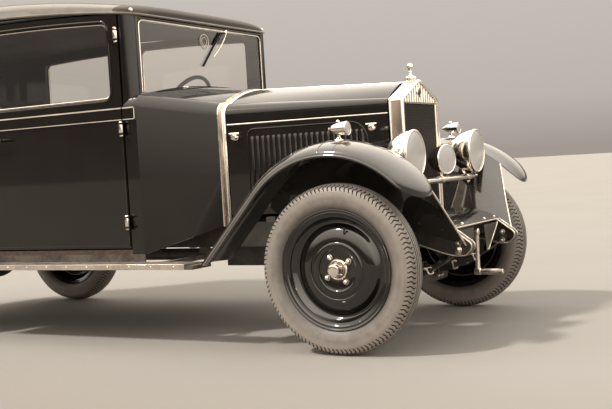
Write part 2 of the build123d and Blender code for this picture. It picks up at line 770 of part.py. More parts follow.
def bonnet_tops():
    """Right and left top panels, parted along the middle hinge rod."""
    low = BONNET_HINGE_Z + BONNET_SIDE_ROD_R + SEAT_GAP
    shell = arch_loft(BONNET_FRONT, BONNET_REAR, 0.0, low)
    shell -= arch_loft(
        section_at(BONNET_FRONT, BONNET_REAR, BONNET_FRONT[0] + 20),
        section_at(BONNET_FRONT, BONNET_REAR, BONNET_REAR[0] - 20),
        BONNET_T,
        low - 20,
    )
    edge = BONNET_ROD_R + SEAT_GAP
    left = shell & block(BAND[0], BONNET_FRONT[0] + 5, edge, BEYOND, low - 50, BEYOND)
    return other_side(left), left


def bonnet_side():
    """Left side panel with its louvres and the hinge rod along its top edge."""
    x0, y0 = BONNET_REAR[0], BONNET_REAR[1]
    x1, y1 = BONNET_FRONT[0], BONNET_FRONT[1]
    top = BONNET_HINGE_Z - BONNET_SIDE_ROD_R + 1
    plan = outline((x0, y0), (x1, y1), (x1, y1 - BONNET_T), (x0, y0 - BONNET_T))
    panel = along_z(plan, BONNET_FRONT[6], top)
    start = (x0, y0 - BONNET_T / 2, BONNET_HINGE_Z)
    end = (x1, y1 - BONNET_T / 2, BONNET_HINGE_Z)
    panel += rod(start, end, BONNET_SIDE_ROD_R)
    slope = (y1 - y0) / (x1 - x0)
    for index in range(LOUVRE_COUNT):
        x = LOUVRE_FIRST_X + LOUVRE_PITCH * index
        y = y0 + slope * (x - x0)
        rib = Box(LOUVRE_W, 2 * LOUVRE_PROUD, LOUVRE_Z[1] - LOUVRE_Z[0])
        rib = Rot(0, 0, degrees(atan2(y1 - y0, x1 - x0))) * rib
        panel += Pos(x, y, sum(LOUVRE_Z) / 2) * rib
    return panel


def scuttle_filled():
    """Outer form of the scuttle and front posts, with no hollow."""
    body = arch_loft(BAND, SCREEN_BASE)
    rear = (POST_REAR_X, *SCREEN_BASE[1:])
    return body + arch_loft(SCREEN_BASE, rear)


def scuttle_hollow():
    """Space inside the scuttle, open at its bottom and rear."""
    low = BODY_BOTTOM_Z / 2
    front = section_at(BAND, SCREEN_BASE, BAND[0] + 5)
    inner = arch_loft(front, SCREEN_BASE, SCUTTLE_T, low)
    rear = (POST_REAR_X - 50, *SCREEN_BASE[1:])
    return inner + arch_loft(SCREEN_BASE, rear, SCUTTLE_T, low)


def scuttle():
    """Scuttle with the front posts, belt moulding, hinge ears and bonnet rod."""
    body = scuttle_filled() - scuttle_hollow()
    for side in [-1, 1]:
        y0 = side * (BODY_HALF_W - 1)
        y1 = side * (BODY_HALF_W + BELT_PROUD)
        body += block(SCREEN_BASE[0], POST_REAR_X, y0, y1, *BELT_Z)
        for z in HINGE_Z[1:]:
            body += hinge_ears(side, z)
    tip_x = RAD_REAR_X - SEAT_GAP
    front = (tip_x, 0, bonnet_axis_z(tip_x))
    rear = (BAND[0], 0, bonnet_axis_z(BAND[0]))
    return body + rod(rear, front, BONNET_ROD_R)


def hinge_ears(side, z):
    """Fixed half of a door hinge: two ears, their arm and the pin."""
    y = side * HINGE_Y
    half = HINGE_BARREL_H / 2 + SEAT_GAP
    ears = rod((HINGE_X, y, z - half - HINGE_EAR_T), (HINGE_X, y, z + half + HINGE_EAR_T), HINGE_PIN_R)
    for low in [z - half - HINGE_EAR_T, z + half]:
        high = low + HINGE_EAR_T
        ears += rod((HINGE_X, y, low), (HINGE_X, y, high), HINGE_BARREL_R)
        post_x = POST_REAR_X + 15
        ears += block(HINGE_X, post_x, side * (BODY_HALF_W - 1), y + side * HINGE_BARREL_R, low, high)
    return ears


def windscreen_frame():
    """Screen posts and header, seated on the scuttle and under the roof."""
    frame = block(
        POST_REAR_X, SCREEN_BASE[0], -BODY_HALF_W, BODY_HALF_W, SCREEN_BASE[2] - 40, DRIP[0][1] + 60
    )
    half = SCREEN_HALF_W
    frame -= block(POST_REAR_X - 5, SCREEN_BASE[0] + 5, -half, half, SCREEN_BOTTOM_Z, SCREEN_TOP_Z)
    frame = frame - scuttle_filled() - above(DRIP, RAIL_BELOW_DRIP)
    for side in [-1, 1]:
        frame += hinge_ears(side, HINGE_Z[0])
    return frame


# Body shell
def above(curve, drop):
    """Everything higher than a roof curve less a drop, as a long block."""
    (x0, z0), (x1, z1), (x2, z2) = curve
    face = outline(
        (x0, z0 - drop),
        ((x1, z1 - drop), (x2, z2 - drop)),
        (x2 - 200, z2 - drop),
        (x2 - 200, BEYOND),
        (x0 + 200, BEYOND),
        (x0 + 200, z0 - drop),
    )
    return along_y(face, -BEYOND, BEYOND)


def body_plan(inset, front_x, rear_x=BODY_REAR_X, corner=BODY_CORNER_R):
    """Plan outline of the body, with round rear corners."""
    half = BODY_HALF_W - inset
    back = rear_x + inset
    radius = corner - inset
    bend = radius * (1 - sqrt(0.5))
    return outline(
        (front_x, -half),
        (back + radius, -half),
        ((back + bend, -half + bend), (back, -half + radius)),
        (back, half - radius),
        ((back + bend, half - bend), (back + radius, half)),
        (front_x, half),
    )


def body_wall(low_z):
    """Whole upright wall behind the front posts, with the belt moulding."""
    top = DRIP[1][1] + 20
    front = POST_REAR_X
    wall = along_z(body_plan(0, front), low_z, top)
    wall += along_z(body_plan(-BELT_PROUD, front), *BELT_Z)
    wall -= along_z(body_plan(BODY_T, front + 50), low_z - 10, top + 10)
    return wall


def window_cut(x_range, curve_drop):
    """Left side window opening, its top edge parallel to the drip moulding."""
    x0, x1 = x_range
    low = WINDOW_SILL_Z
    opening = block(x0, x1, BODY_HALF_W - BODY_T - 20, BODY_HALF_W + 20, low, DRIP[1][1])
    opening -= above(DRIP, curve_drop)
    upright = [edge for edge in opening.edges().filter_by(Axis.Y)]
    return fillet(upright, WINDOW_CORNER_R)


def pane(opening, y_middle):
    """Glass that fills a side opening at a given y."""
    slab = block(-BEYOND, 0, y_middle - GLASS_T / 2, y_middle + GLASS_T / 2, 0, BEYOND)
    return opening & slab


def door():
    """Left door with its window, hinge barrels and handle."""
    front = HINGE_X - 3
    body = body_wall(DOOR_BOTTOM_Z) & block(front, DOOR_REAR_X, 0, BEYOND, DOOR_BOTTOM_Z, BEYOND)
    body = body - above(DRIP, DOOR_BELOW_DRIP) - window_cut(DOOR_WINDOW_X, WINDOW_BELOW_DRIP)
    half = HINGE_BARREL_H / 2
    for z in HINGE_Z:
        relief = HINGE_BARREL_R + MOVING_GAP
        ear_top = half + SEAT_GAP + HINGE_EAR_T + MOVING_GAP
        body -= block(HINGE_X + 20, HINGE_X - relief, BODY_HALF_W, BEYOND, z - ear_top, z + ear_top)
        body += rod((HINGE_X, HINGE_Y, z - half), (HINGE_X, HINGE_Y, z + half), HINGE_BARREL_R)
        leaf_outer = HINGE_Y + HINGE_BARREL_R / 2
        body += block(HINGE_X, HINGE_X - 46, BODY_HALF_W - 1, leaf_outer, z - half, z + half)
        pin_gap = HINGE_PIN_R + RUNNING_GAP
        body -= rod((HINGE_X, HINGE_Y, z - half - 5), (HINGE_X, HINGE_Y, z + half + 5), pin_gap)
    grip_y = BODY_HALF_W + 42
    body += rod((HANDLE_X, BODY_HALF_W - 1, HANDLE_Z), (HANDLE_X, grip_y, HANDLE_Z), 9)
    return body + rod((HANDLE_X - 20, grip_y, HANDLE_Z), (HANDLE_X + 95, grip_y, HANDLE_Z), 8)


def side_glass(x_range):
    """Left side pane for a window."""
    return pane(window_cut(x_range, WINDOW_BELOW_DRIP), BODY_HALF_W - GLASS_INSET)


def quarter_panel():
    """Left panel behind the door, with its window and the wheel arch closed on the inside."""
    front = DOOR_REAR_X - MOVING_GAP
    region = block(front, TAIL_START_X, 0, BEYOND, BODY_BOTTOM_Z, BEYOND)
    body = body_wall(BODY_BOTTOM_Z) & region
    body = body - above(DRIP, RAIL_BELOW_DRIP) - window_cut(QUARTER_WINDOW_X, WINDOW_BELOW_DRIP)
    axle = -WHEELBASE
    low_y = ARCH_INNER_Y - ARCH_PLATE_T
    body -= rod((axle, low_y, TYRE_R), (axle, BEYOND, TYRE_R), ARCH_R)
    plate = rod((axle, low_y, TYRE_R), (axle, ARCH_INNER_Y, TYRE_R), ARCH_R + ARCH_LAP)
    tunnel = rod((axle, low_y, TYRE_R), (axle, BODY_HALF_W - 1, TYRE_R), ARCH_R + ARCH_PLATE_T)
    tunnel -= rod((axle, ARCH_INNER_Y - 1, TYRE_R), (axle, BEYOND, TYRE_R), ARCH_R)
    return body + ((plate + tunnel) & region)


def tail_panel():
    """Rear panel with both rear corners and the rear window."""
    region = block(TAIL_START_X, BODY_REAR_X - 50, -BEYOND, BEYOND, TAIL_BOTTOM_Z, BEYOND)
    body = body_wall(TAIL_BOTTOM_Z) & region
    body -= above(DRIP, RAIL_BELOW_DRIP)
    body -= tail_window()
    for side in [-1, 1]:
        arch = rod((-WHEELBASE, side * ARCH_INNER_Y / 2, TYRE_R), (-WHEELBASE, side * BEYOND, TYRE_R), ARCH_R)
        body -= arch
    return body


def tail_window():
    """Rear window opening."""
    width = 2 * REAR_WINDOW_HALF_W
    height = REAR_WINDOW_Z[1] - REAR_WINDOW_Z[0]
    face = Pos(0, sum(REAR_WINDOW_Z) / 2) * RectangleRounded(width, height, WINDOW_CORNER_R)
    return along_x(face, BODY_REAR_X - 50, BODY_REAR_X + BODY_T + 50)


def fixed_glass():
    """Windscreen, quarter panes and rear pane, each its own solid."""
    half = SCREEN_HALF_W
    screen = block(SCREEN_X - 3, SCREEN_X + 3, -half, half, SCREEN_BOTTOM_Z, SCREEN_TOP_Z)
    screen -= scuttle_filled()
    quarter = side_glass(QUARTER_WINDOW_X)
    back_x = BODY_REAR_X + GLASS_INSET
    rear = tail_window() & block(back_x, back_x + GLASS_T, -BEYOND, BEYOND, 0, BEYOND)
    pieces = [screen, quarter, other_side(quarter), rear]
    return Compound(children=[solid for item in pieces for solid in item.solids()])


def roof():
    """Crowned roof with its drip moulding, hollow below."""
    top = CROWN[1][1] + 10
    low = DRIP[2][1] - 120
    half = BODY_HALF_W + ROOF_OVERHANG
    edge_drop = ROOF_SHOULDER_R * 0.42
    corner_y = half - ROOF_SHOULDER_R * 0.72

    def crowned(inset, front_x):
        """Plan outline raised to the crown's cross and side curves."""
        plan = along_z(body_plan(inset - ROOF_OVERHANG, front_x), low, top)
        y1 = half - inset
        side = top - ROOF_SAG - edge_drop - inset
        beyond = y1 + 50
        cross = outline(
            (-beyond, low - 10),
            (-beyond, side),
            (-y1, side),
            ((-(corner_y + y1) / 2 - 12, side + edge_drop * 0.66), (-corner_y, top - ROOF_SAG - inset)),
            ((0.0, top - inset), (corner_y, top - ROOF_SAG - inset)),
            (((corner_y + y1) / 2 + 12, side + edge_drop * 0.66), (y1, side)),
            (beyond, side),
            (beyond, low - 10),
        )
        return (plan & along_x(cross, BODY_REAR_X - 100, 0)) - above(CROWN, inset)

    body = crowned(0, ROOF_FRONT_X) - crowned(ROOF_T, ROOF_FRONT_X - ROOF_T)
    right = (body - below_roof()) & block(-BEYOND, 0, -BEYOND, 0, 0, BEYOND)
    return right + other_side(right)


def below_roof():
    """Everything lower than the roof's bottom edge."""
    (x0, z0), (x1, z1), (x2, z2) = DRIP
    drop = RAIL_BELOW_DRIP
    face = outline(
        (x0, z0 - drop),
        ((x1, z1 - drop), (x2, z2 - drop)),
        (x2 - 200, z2 - drop),
        (x2 - 200, 0),
        (x0 + 200, 0),
        (x0 + 200, z0 - drop),
    )
    return along_y(face, -BEYOND, BEYOND)


def floor():
    """Floor, sills and bulkhead."""
    hollow = scuttle_hollow()
    front_x = BAND[0] - 12
    cut_x = POST_REAR_X
    slab = along_z(body_plan(BODY_T, cut_x), *FLOOR_Z)
    slab += hollow & block(cut_x, front_x - FIREWALL_T, -BEYOND, BEYOND, *FLOOR_Z)
    slab += hollow & block(front_x - FIREWALL_T, front_x, -BEYOND, BEYOND, FLOOR_Z[0], BEYOND)
    for side in [-1, 1]:
        inner = side * SILL_INNER_Y
        slab += block(cut_x, DOOR_REAR_X, inner, side * BODY_HALF_W, BODY_BOTTOM_Z, SILL_TOP_Z)
        web_y = side * (BODY_HALF_W - BODY_T - MOVING_GAP)
        slab += block(cut_x, DOOR_REAR_X, inner, web_y, SILL_TOP_Z, FLOOR_Z[0])
        slot = side * (BODY_HALF_W - BODY_T - MOVING_GAP)
        edge = side * BODY_HALF_W
        slab -= block(cut_x - 1, DOOR_REAR_X, slot, edge, SILL_TOP_Z, FLOOR_Z[1] + 5)
        plate_y = side * (ARCH_INNER_Y - ARCH_PLATE_T)
        start = (-WHEELBASE, plate_y, TYRE_R)
        slab -= rod(start, (-WHEELBASE, side * BEYOND, TYRE_R), ARCH_R + ARCH_LAP)
    return slab


def column_line():
    """Unit direction of the steering column, up towards the driver, and its foot."""
    x, y, z = STEER_WHEEL
    foot = (BAND[0] - 12 - FIREWALL_T, y, STEER_FOOT_Z)
    length = hypot(x - foot[0], z - foot[2])
    return ((x - foot[0]) / length, 0.0, (z - foot[2]) / length), foot


def on_column(distance):
    """Point on the column's line, measured back from the steering wheel's centre."""
    (dx, _, dz), _ = column_line()
    x, y, z = STEER_WHEEL
    return (x - dx * distance, y, z - dz * distance)


def dashboard():
    """Instrument panel fitted inside the scuttle, and the steering column."""
    panel = scuttle_hollow() & block(*DASH_X, -BEYOND, BEYOND, DASH_BOTTOM_Z, BEYOND)
    _, foot = column_line()
    (dx, _, dz), _ = column_line()
    deep = (foot[0] - dx * 40, foot[1], foot[2] - dz * 40)
    column = rod(deep, on_column(STEER_HUB_R + 4), COLUMN_R)
    column -= block(foot[0], 0, -BEYOND, BEYOND, 0, BEYOND)
    column -= rod(on_column(120), on_column(0), STEER_SHAFT_R + RUNNING_GAP)
    hollow_core = rod(on_column(120), on_column(0), STEER_SHAFT_R + RUNNING_GAP)
    return panel + column - hollow_core


def steering_wheel():
    """Steering wheel with its spokes, hub and shaft."""
    direction, _ = column_line()
    plane = Plane(origin=STEER_WHEEL, x_dir=(0, 1, 0), z_dir=direction)
    wheel = Torus(STEER_WHEEL_R, STEER_RIM_R)
    hub_low = -STEER_HUB_R - 4 + SEAT_GAP
    wheel += Pos(0, 0, hub_low / 2) * Cylinder(STEER_HUB_R, -hub_low)
    for index in range(SPOKE_COUNT):
        angle = 45 + 360 / SPOKE_COUNT * index
        x = STEER_WHEEL_R * cos(radians(angle))
        y = STEER_WHEEL_R * sin(radians(angle))
        wheel += rod((0, 0, -SPOKE_R), (x, y, 0), SPOKE_R)
    wheel += rod((0, 0, -100), (0, 0, -10), STEER_SHAFT_R)
    return plane * wheel


# Wings, boards and apron
def wing_section(radius, inner_y, crest, outer_y, inner_drop, outer_drop):
    """Section of a crowned band: x is the radius, y runs outboard."""
    y1, y2 = crest
    rise_in = radius - inner_drop * 0.28
    rise_out = radius - outer_drop * 0.30
    mid_in = inner_y + (y1 - inner_y) * 0.5
    mid_out = y2 + (outer_y - y2) * 0.66
    t = WING_T
    return outline(
        (radius - inner_drop, inner_y),
        ((rise_in, mid_in), (radius, y1)),
        (radius, y2),
        ((rise_out, mid_out), (radius - outer_drop, outer_y)),
        (radius - outer_drop, outer_y - t),
        ((rise_out - t, mid_out - t * 0.6), (radius - t, y2)),
        (radius - t, y1),
        ((rise_in - t, mid_in), (radius - inner_drop - t, inner_y)),
    )


def wing_band(face, centre, start, end):
    """Turn a section about a line along Y, from one angle above the front to another."""
    x, z = centre
    first = Rot(0, -start, 0) * face
    body = revolve(first, axis=Axis((0, 0, 0), (0, -1, 0)), revolution_arc=end - start)
    return Pos(x, 0, z) * body


def front_wing():
    """Left front wing: turned band, straight tail, closed nose and inner valance."""
    drops = (WING_INNER_DROP, WING_OUTER_DROP)
    face = wing_section(WING_R, WING_INNER_Y, WING_CREST_Y, WING_OUTER_Y, *drops)
    band = wing_band(face, WING_CENTRE, WING_NOSE_ANGLE, WING_TAIL_ANGLE)
    angle = radians(WING_TAIL_ANGLE)
    tail_dir = (-sin(angle), 0, cos(angle))
    end_face = Pos(WING_CENTRE[0], 0, WING_CENTRE[1]) * (Rot(0, -WING_TAIL_ANGLE, 0) * face)
    band += extrude(end_face, amount=800, dir=tail_dir)
    filled = outline(
        (WING_R - WING_OUTER_DROP, WING_OUTER_Y),
        (WING_R - WING_OUTER_DROP, WING_INNER_Y),
        (WING_R - WING_INNER_DROP, WING_INNER_Y),
        (WING_R, WING_CREST_Y[0]),
        (WING_R, WING_CREST_Y[1]),
        (WING_R - WING_OUTER_DROP * 0.32, WING_CREST_Y[1] + (WING_OUTER_Y - WING_CREST_Y[1]) * 0.66),
    )
    band += wing_band(filled, WING_CENTRE, WING_NOSE_ANGLE, WING_NOSE_ANGLE + 1.2)
    band -= block(-BEYOND, BEYOND, 0, BEYOND, -BEYOND, BOARD_Z[1] - BOARD_MAT_T)
    return band + wing_valance()


def wing_valance():
    """Left inner panel from the wing's inner edge down to the frame rail."""
    x0, z0 = WING_CENTRE
    radius = WING_R - WING_INNER_DROP
    top = []
    for r in [radius, radius - WING_T]:
        points = []
        for angle in [WING_NOSE_ANGLE, (WING_NOSE_ANGLE + 150) / 2, 150]:
            turn = radians(angle)
            points.append((x0 + r * cos(turn), z0 + r * sin(turn)))
        top.append(points)
    outer, inner = top
    upper = outline(outer[0], (outer[1], outer[2]), inner[2], (inner[1], inner[0]))
    low_z = RAIL_BOTTOM_Z + 60
    tip = (IRON_TIP_X - 25, IRON_EYE_Z + 20)
    bend = (180.0, low_z - 4)
    back = (-430.0, low_z)
    t = WING_T
    lower = outline(
        tip,
        (bend, back),
        (back[0], back[1] - t),
        ((bend[0], bend[1] - t), (tip[0], tip[1] - t)),
    )
    faces = [
        Pos(0, WING_INNER_Y + 1, 0) * (Plane.XZ * upper),
        Pos(0, RAIL_OUTER_Y, 0) * (Plane.XZ * lower),
    ]
    return loft(faces, ruled=True)


def rear_wing():
    """Left rear wing against the body side."""
    inner_y = BODY_HALF_W
    crest = (inner_y + 30, inner_y + 55)
    face = wing_section(REAR_WING_R, inner_y, crest, WING_OUTER_Y, 8.0, WING_OUTER_DROP)
    band = wing_band(face, (-WHEELBASE, TYRE_R), *REAR_WING_ANGLES)
    return band


def running_board():
    """Left running board with its brackets to the rail and the skirt under the sill."""
    x1 = BOARD_REAR_X
    front = wing_tail_x(BOARD_Z[1])
    board = block(front, x1, *BOARD_Y, BOARD_Z[0], BOARD_Z[1] - BOARD_MAT_T)
    board += block(front - BOARD_MAT_START, x1, *BOARD_Y, BOARD_Z[0], BOARD_Z[1])
    arch = rod((-WHEELBASE, 0, TYRE_R), (-WHEELBASE, BEYOND, TYRE_R), REAR_WING_R + 1)
    skirt_x = SCREEN_BASE[0]
    board += block(skirt_x, x1, BODY_HALF_W - BOARD_SKIRT_T, BODY_HALF_W, BOARD_Z[0], BODY_BOTTOM_Z)
    board -= arch
    for x in BOARD_ARM_X:
        half = BOARD_ARM_W / 2
        board += block(x - half, x + half, RAIL_INNER_Y, BODY_HALF_W + 40, BOARD_Z[0], BOARD_Z[1])
        board += block(x - half, x + half, RAIL_INNER_Y, RAIL_OUTER_Y, BOARD_Z[1], RAIL_BOTTOM_Z)
    return board


def wing_tail_x(z):
    """Foremost x of the front wing's tail at a height."""
    angle = radians(WING_TAIL_ANGLE)
    r = WING_R - WING_T
    x = WING_CENTRE[0] + r * cos(angle)
    start_z = WING_CENTRE[1] + r * sin(angle)
    return x - (start_z - z) * sin(angle) / -cos(angle)


def front_apron():
    """Apron over the dumb irons, from the radiator to its rolled lip."""
    end_x = 365.0
    t = 5.0
    mid_x = (IRON_START_X + end_x) / 2
    face = outline(
        (RAD_FRONT_X, RAIL_TOP_Z),
        (IRON_START_X, RAIL_TOP_Z),
        ((mid_x, iron_top_z(mid_x)), (end_x, iron_top_z(end_x))),
        (end_x + 3, iron_top_z(end_x) + t),
        ((mid_x + 2, iron_top_z(mid_x) + t), (IRON_START_X, RAIL_TOP_Z + t)),
        (RAD_FRONT_X, RAIL_TOP_Z + t),
    )
    return along_y(face, -RAIL_OUTER_Y, RAIL_OUTER_Y)


# Lamps
def lamp_bowl(depth, radius):
    """Round lamp shell about X, its rim at x = 0 and its back at minus the depth."""
    face = outline(
        (0.0, 0.0),
        (0.0, radius),
        (-22.0, radius),
        ((-depth * 0.62, radius * 0.72), (-depth, radius * 0.26)),
        (-depth, 0.0),
    )
    return face


def lamps():
    """Cross bar with its three lamps, and a side lamp on each front wing."""
    wings = both(front_wing())
    bar = rod((BAR_X, -520, BAR_Z), (BAR_X, 520, BAR_Z), BAR_R)
    bar = largest(bar - wings)
    group = bar
    for side in [-1, 1]:
        head = turned_x(lamp_bowl(LAMP_DEPTH, LAMP_R), LAMP_LENS_X, side * LAMP_Y, LAMP_Z)
        group += head
        foot_y = side * (LAMP_Y - 30)
        group += rod((BAR_X - 20, foot_y, BAR_Z), (BAR_X - 20, foot_y, LAMP_Z - 60), 12)
        group += rod((BAR_X - 20, foot_y, BAR_Z), (BAR_X, foot_y, BAR_Z), 12)
        recess = rod(
            (LAMP_LENS_X - LENS_T, side * LAMP_Y, LAMP_Z), (LAMP_LENS_X + 1, side * LAMP_Y, LAMP_Z), LENS_R
        )
        group -= recess
    x, z = MIDDLE_LAMP
    group += turned_x(lamp_bowl(MIDDLE_LAMP_DEPTH, MIDDLE_LAMP_R), x, 0, z)
    group += rod((BAR_X, 0, BAR_Z), (BAR_X, 0, z - 20), 12)
    lens_r = MIDDLE_LAMP_R - 6
    group -= rod((x - LENS_T, 0, z), (x + 1, 0, z), lens_r)
    sx, sy, sz = SIDE_LAMP
    side_lamp = turned_x(lamp_bowl(SIDE_LAMP_LENGTH, SIDE_LAMP_R), sx + SIDE_LAMP_LENGTH / 2, sy, sz)
    side_lamp -= rod((sx + SIDE_LAMP_LENGTH / 2 - 5, sy, sz), (sx + 100, sy, sz), SIDE_LAMP_R - 3)
    side_lamp += rod((sx, sy, WING_CENTRE[1] + WING_R - 20), (sx, sy, sz), 9)
    side_lamp -= front_wing()
    side_lamp = largest(side_lamp)
    children = [*group.solids(), *side_lamp.solids(), *other_side(side_lamp).solids()]
    return Compound(children=children)


def lenses():
    """Lens of each lamp."""
    pieces = []
    x, z = MIDDLE_LAMP
    for side in [-1, 1]:
        y = side * LAMP_Y
        pieces.append(rod((LAMP_LENS_X - LENS_T, y, LAMP_Z), (LAMP_LENS_X + 2, y, LAMP_Z), LENS_R))
        sx, sy, sz = SIDE_LAMP
        tip = sx + SIDE_LAMP_LENGTH / 2
        pieces.append(rod((tip - 5, side * sy, sz), (tip + 2, side * sy, sz), SIDE_LAMP_R - 3))
    pieces.append(rod((x - LENS_T, 0, z), (x + 2, 0, z), MIDDLE_LAMP_R - 6))
    return Compound(children=[solid for item in pieces for solid in item.solids()])


# Seats
def front_cushions():
    """Seat cushions of the two front seats, on the floor."""
    x0, x1 = SEAT_X
    low = FLOOR_Z[1]
    seat = block(x0, x1, SEAT_Y - SEAT_HALF_W, SEAT_Y + SEAT_HALF_W, low, SEAT_TOP_Z)
    return both(seat)


def front_backs():
    """Backrests of the two front seats."""
    x0, x1 = SEAT_BACK_X
    low = FLOOR_Z[1]
    back = block(x0, x1, SEAT_Y - SEAT_HALF_W, SEAT_Y + SEAT_HALF_W, low, SEAT_BACK_TOP_Z)
    return both(back)


def rear_cushion():
    """Rear bench cushion."""
    half = BENCH_HALF_W
    return block(BENCH_X[0], BENCH_X[1], -half, half, FLOOR_Z[1], BENCH_TOP_Z)


def rear_back():
    """Rear bench backrest."""
    half = BENCH_HALF_W - 60
    return block(BENCH_BACK_X[0], BENCH_BACK_X[1], -half, half, FLOOR_Z[1], BENCH_BACK_TOP_Z)


# Spare wheel
def on_tail(shape):
    """Turn a wheel piece so that its outboard side faces backwards, on the tail."""
    return Pos(SPARE_X, 0, SPARE_Z) * (Rot(0, 0, 90) * shape)


def spare_wheel():
    """Spare disc wheel with its carrier boss to the tail panel."""
    wheel = on_tail(disc_wheel_solid())
    plate_y = DISC_STATIONS[-1][1]
    boss = rod((BODY_REAR_X, 0, SPARE_Z), (SPARE_X - plate_y + 1, 0, SPARE_Z), CARRIER_R)
    cap = rod((SPARE_X - plate_y, 0, SPARE_Z), (SPARE_X - plate_y - 14, 0, SPARE_Z), CARRIER_R - 15)
    return wheel + boss + cap


def build():
    """Every node's shape by name."""
    tyre = tyre_solid()
    wheel = road_wheel_solid()
    left_knuckle = knuckle()
    top_right, top_left = bonnet_tops()
    side_left = bonnet_side()
    door_left = door()
    door_pane = side_glass(DOOR_WINDOW_X)
    rear_x = -WHEELBASE
    nodes = {
        "tyre_front_right": on_wheel(tyre, 0, -WHEEL_Y),
        "tyre_front_left": on_wheel(tyre, 0, WHEEL_Y),
        "tyre_rear_right": on_wheel(tyre, rear_x, -WHEEL_Y),
        "tyre_rear_left": on_wheel(tyre, rear_x, WHEEL_Y),
        "tyre_spare": on_tail(tyre),
        "wheel_front_right": on_wheel(wheel, 0, -WHEEL_Y),
        "wheel_front_left": on_wheel(wheel, 0, WHEEL_Y),
        "wheel_rear_right": on_wheel(wheel, rear_x, -WHEEL_Y),
        "wheel_rear_left": on_wheel(wheel, rear_x, WHEEL_Y),
        "wheel_spare": spare_wheel(),
        "knuckle_right": other_side(left_knuckle),
        "knuckle_left": left_knuckle,
        "track_rod": track_rod(),
        "front_axle": front_axle(),
        "rear_axle": rear_axle(),
        "leaf_springs": Compound(
            children=[*both(spring("front")).solids(), *both(spring("rear")).solids()]
        ),
        "frame_rails": both(frame_rail()),
        "cross_members": cross_members(),
        "engine_block": engine(),
        "driveline": driveline(),
        "exhaust": exhaust(),
        "fuel_tank": fuel_tank(),
        "starting_handle": starting_handle(),
        "radiator_shell": radiator_shell(),
        "radiator_core": radiator_core(),
        "bonnet_top_right": top_right,
        "bonnet_top_left": top_left,
        "bonnet_side_right": other_side(side_left),
        "bonnet_side_left": side_left,
        "scuttle": scuttle(),
        "windscreen_frame": windscreen_frame(),
        "fixed_glass": fixed_glass(),
        "roof": roof(),
        "door_right": other_side(door_left),
        "door_left": door_left,
        "door_glass_right": other_side(door_pane),
        "door_glass_left": door_pane,
        "quarter_panels": both(quarter_panel()),
        "tail_panel": tail_panel(),
        "floor": floor(),
        "dashboard": dashboard(),
        "steering_wheel": steering_wheel(),
        "front_wings": both(front_wing()),
        "rear_wings": both(rear_wing()),
        "running_boards": both(running_board()),
        "front_apron": front_apron(),
        "lamps": lamps(),
        "lenses": lenses(),
        "front_cushions": front_cushions(),
        "front_backs": front_backs(),
        "rear_cushion": rear_cushion(),
        "rear_back": rear_back(),
    }
    return nodes


os.makedirs("parts", exist_ok=True)
for node, shape in build().items():
    export_step(Pos(FRONT_AXLE_X, 0, 0) * shape, f"parts/{node}.step")
print("front axle x", FRONT_AXLE_X)
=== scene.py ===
"""Looks of a late 1920s two-door saloon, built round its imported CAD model."""
from itertools import product
from math import atan2, cos, exp, hypot, pi, radians, sin, sqrt, tau

import bmesh
import bpy
from mathutils import Matrix, Vector


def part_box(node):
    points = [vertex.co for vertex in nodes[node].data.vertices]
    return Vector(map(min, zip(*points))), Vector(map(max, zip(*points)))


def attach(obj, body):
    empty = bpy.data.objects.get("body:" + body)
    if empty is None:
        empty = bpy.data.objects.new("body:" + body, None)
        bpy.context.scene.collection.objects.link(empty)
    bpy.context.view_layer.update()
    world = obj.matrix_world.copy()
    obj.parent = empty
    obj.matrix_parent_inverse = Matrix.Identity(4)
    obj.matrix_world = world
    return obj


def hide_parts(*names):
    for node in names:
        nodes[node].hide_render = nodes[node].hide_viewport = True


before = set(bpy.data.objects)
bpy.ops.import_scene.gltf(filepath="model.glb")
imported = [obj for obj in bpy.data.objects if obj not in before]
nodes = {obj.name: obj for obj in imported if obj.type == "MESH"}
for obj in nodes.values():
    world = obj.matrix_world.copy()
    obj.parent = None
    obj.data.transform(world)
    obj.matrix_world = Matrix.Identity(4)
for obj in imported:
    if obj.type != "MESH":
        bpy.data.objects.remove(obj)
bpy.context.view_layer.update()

# Places are millimetres from the front axle's line (x), the middle plane (y) and the ground (z),
# the same as in the part's source.
front_low, front_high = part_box("tyre_front_right")
FRONT_AXLE_X = (front_low.x + front_high.x) / 2 * 1000
WHEELBASE = 2800.0
WHEEL_Y = 710.0
TYRE_R = 373.0
spare_low, spare_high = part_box("tyre_spare")
SPARE_X = (spare_low.x + spare_high.x) / 2 * 1000 - FRONT_AXLE_X
SPARE_Z = (spare_low.z + spare_high.z) / 2 * 1000
BODY_HALF_W = 652.0
BODY_REAR_X = -3350.0
BODY_CORNER_R = 260.0
SIDES = ((-1, "right"), (1, "left"))
SMOOTH_ANGLE = radians(32)
AHEAD, LEFT, UP = (1, 0, 0), (0, 1, 0), (0, 0, 1)
BACK, DOWN = (-1, 0, 0), (0, 0, -1)


# Shapes
def row(point):
    """A point in millimetres from the front axle's line, as metres in the CAD model's frame."""
    return Vector((point[0] + FRONT_AXLE_X, point[1], point[2])) / 1000


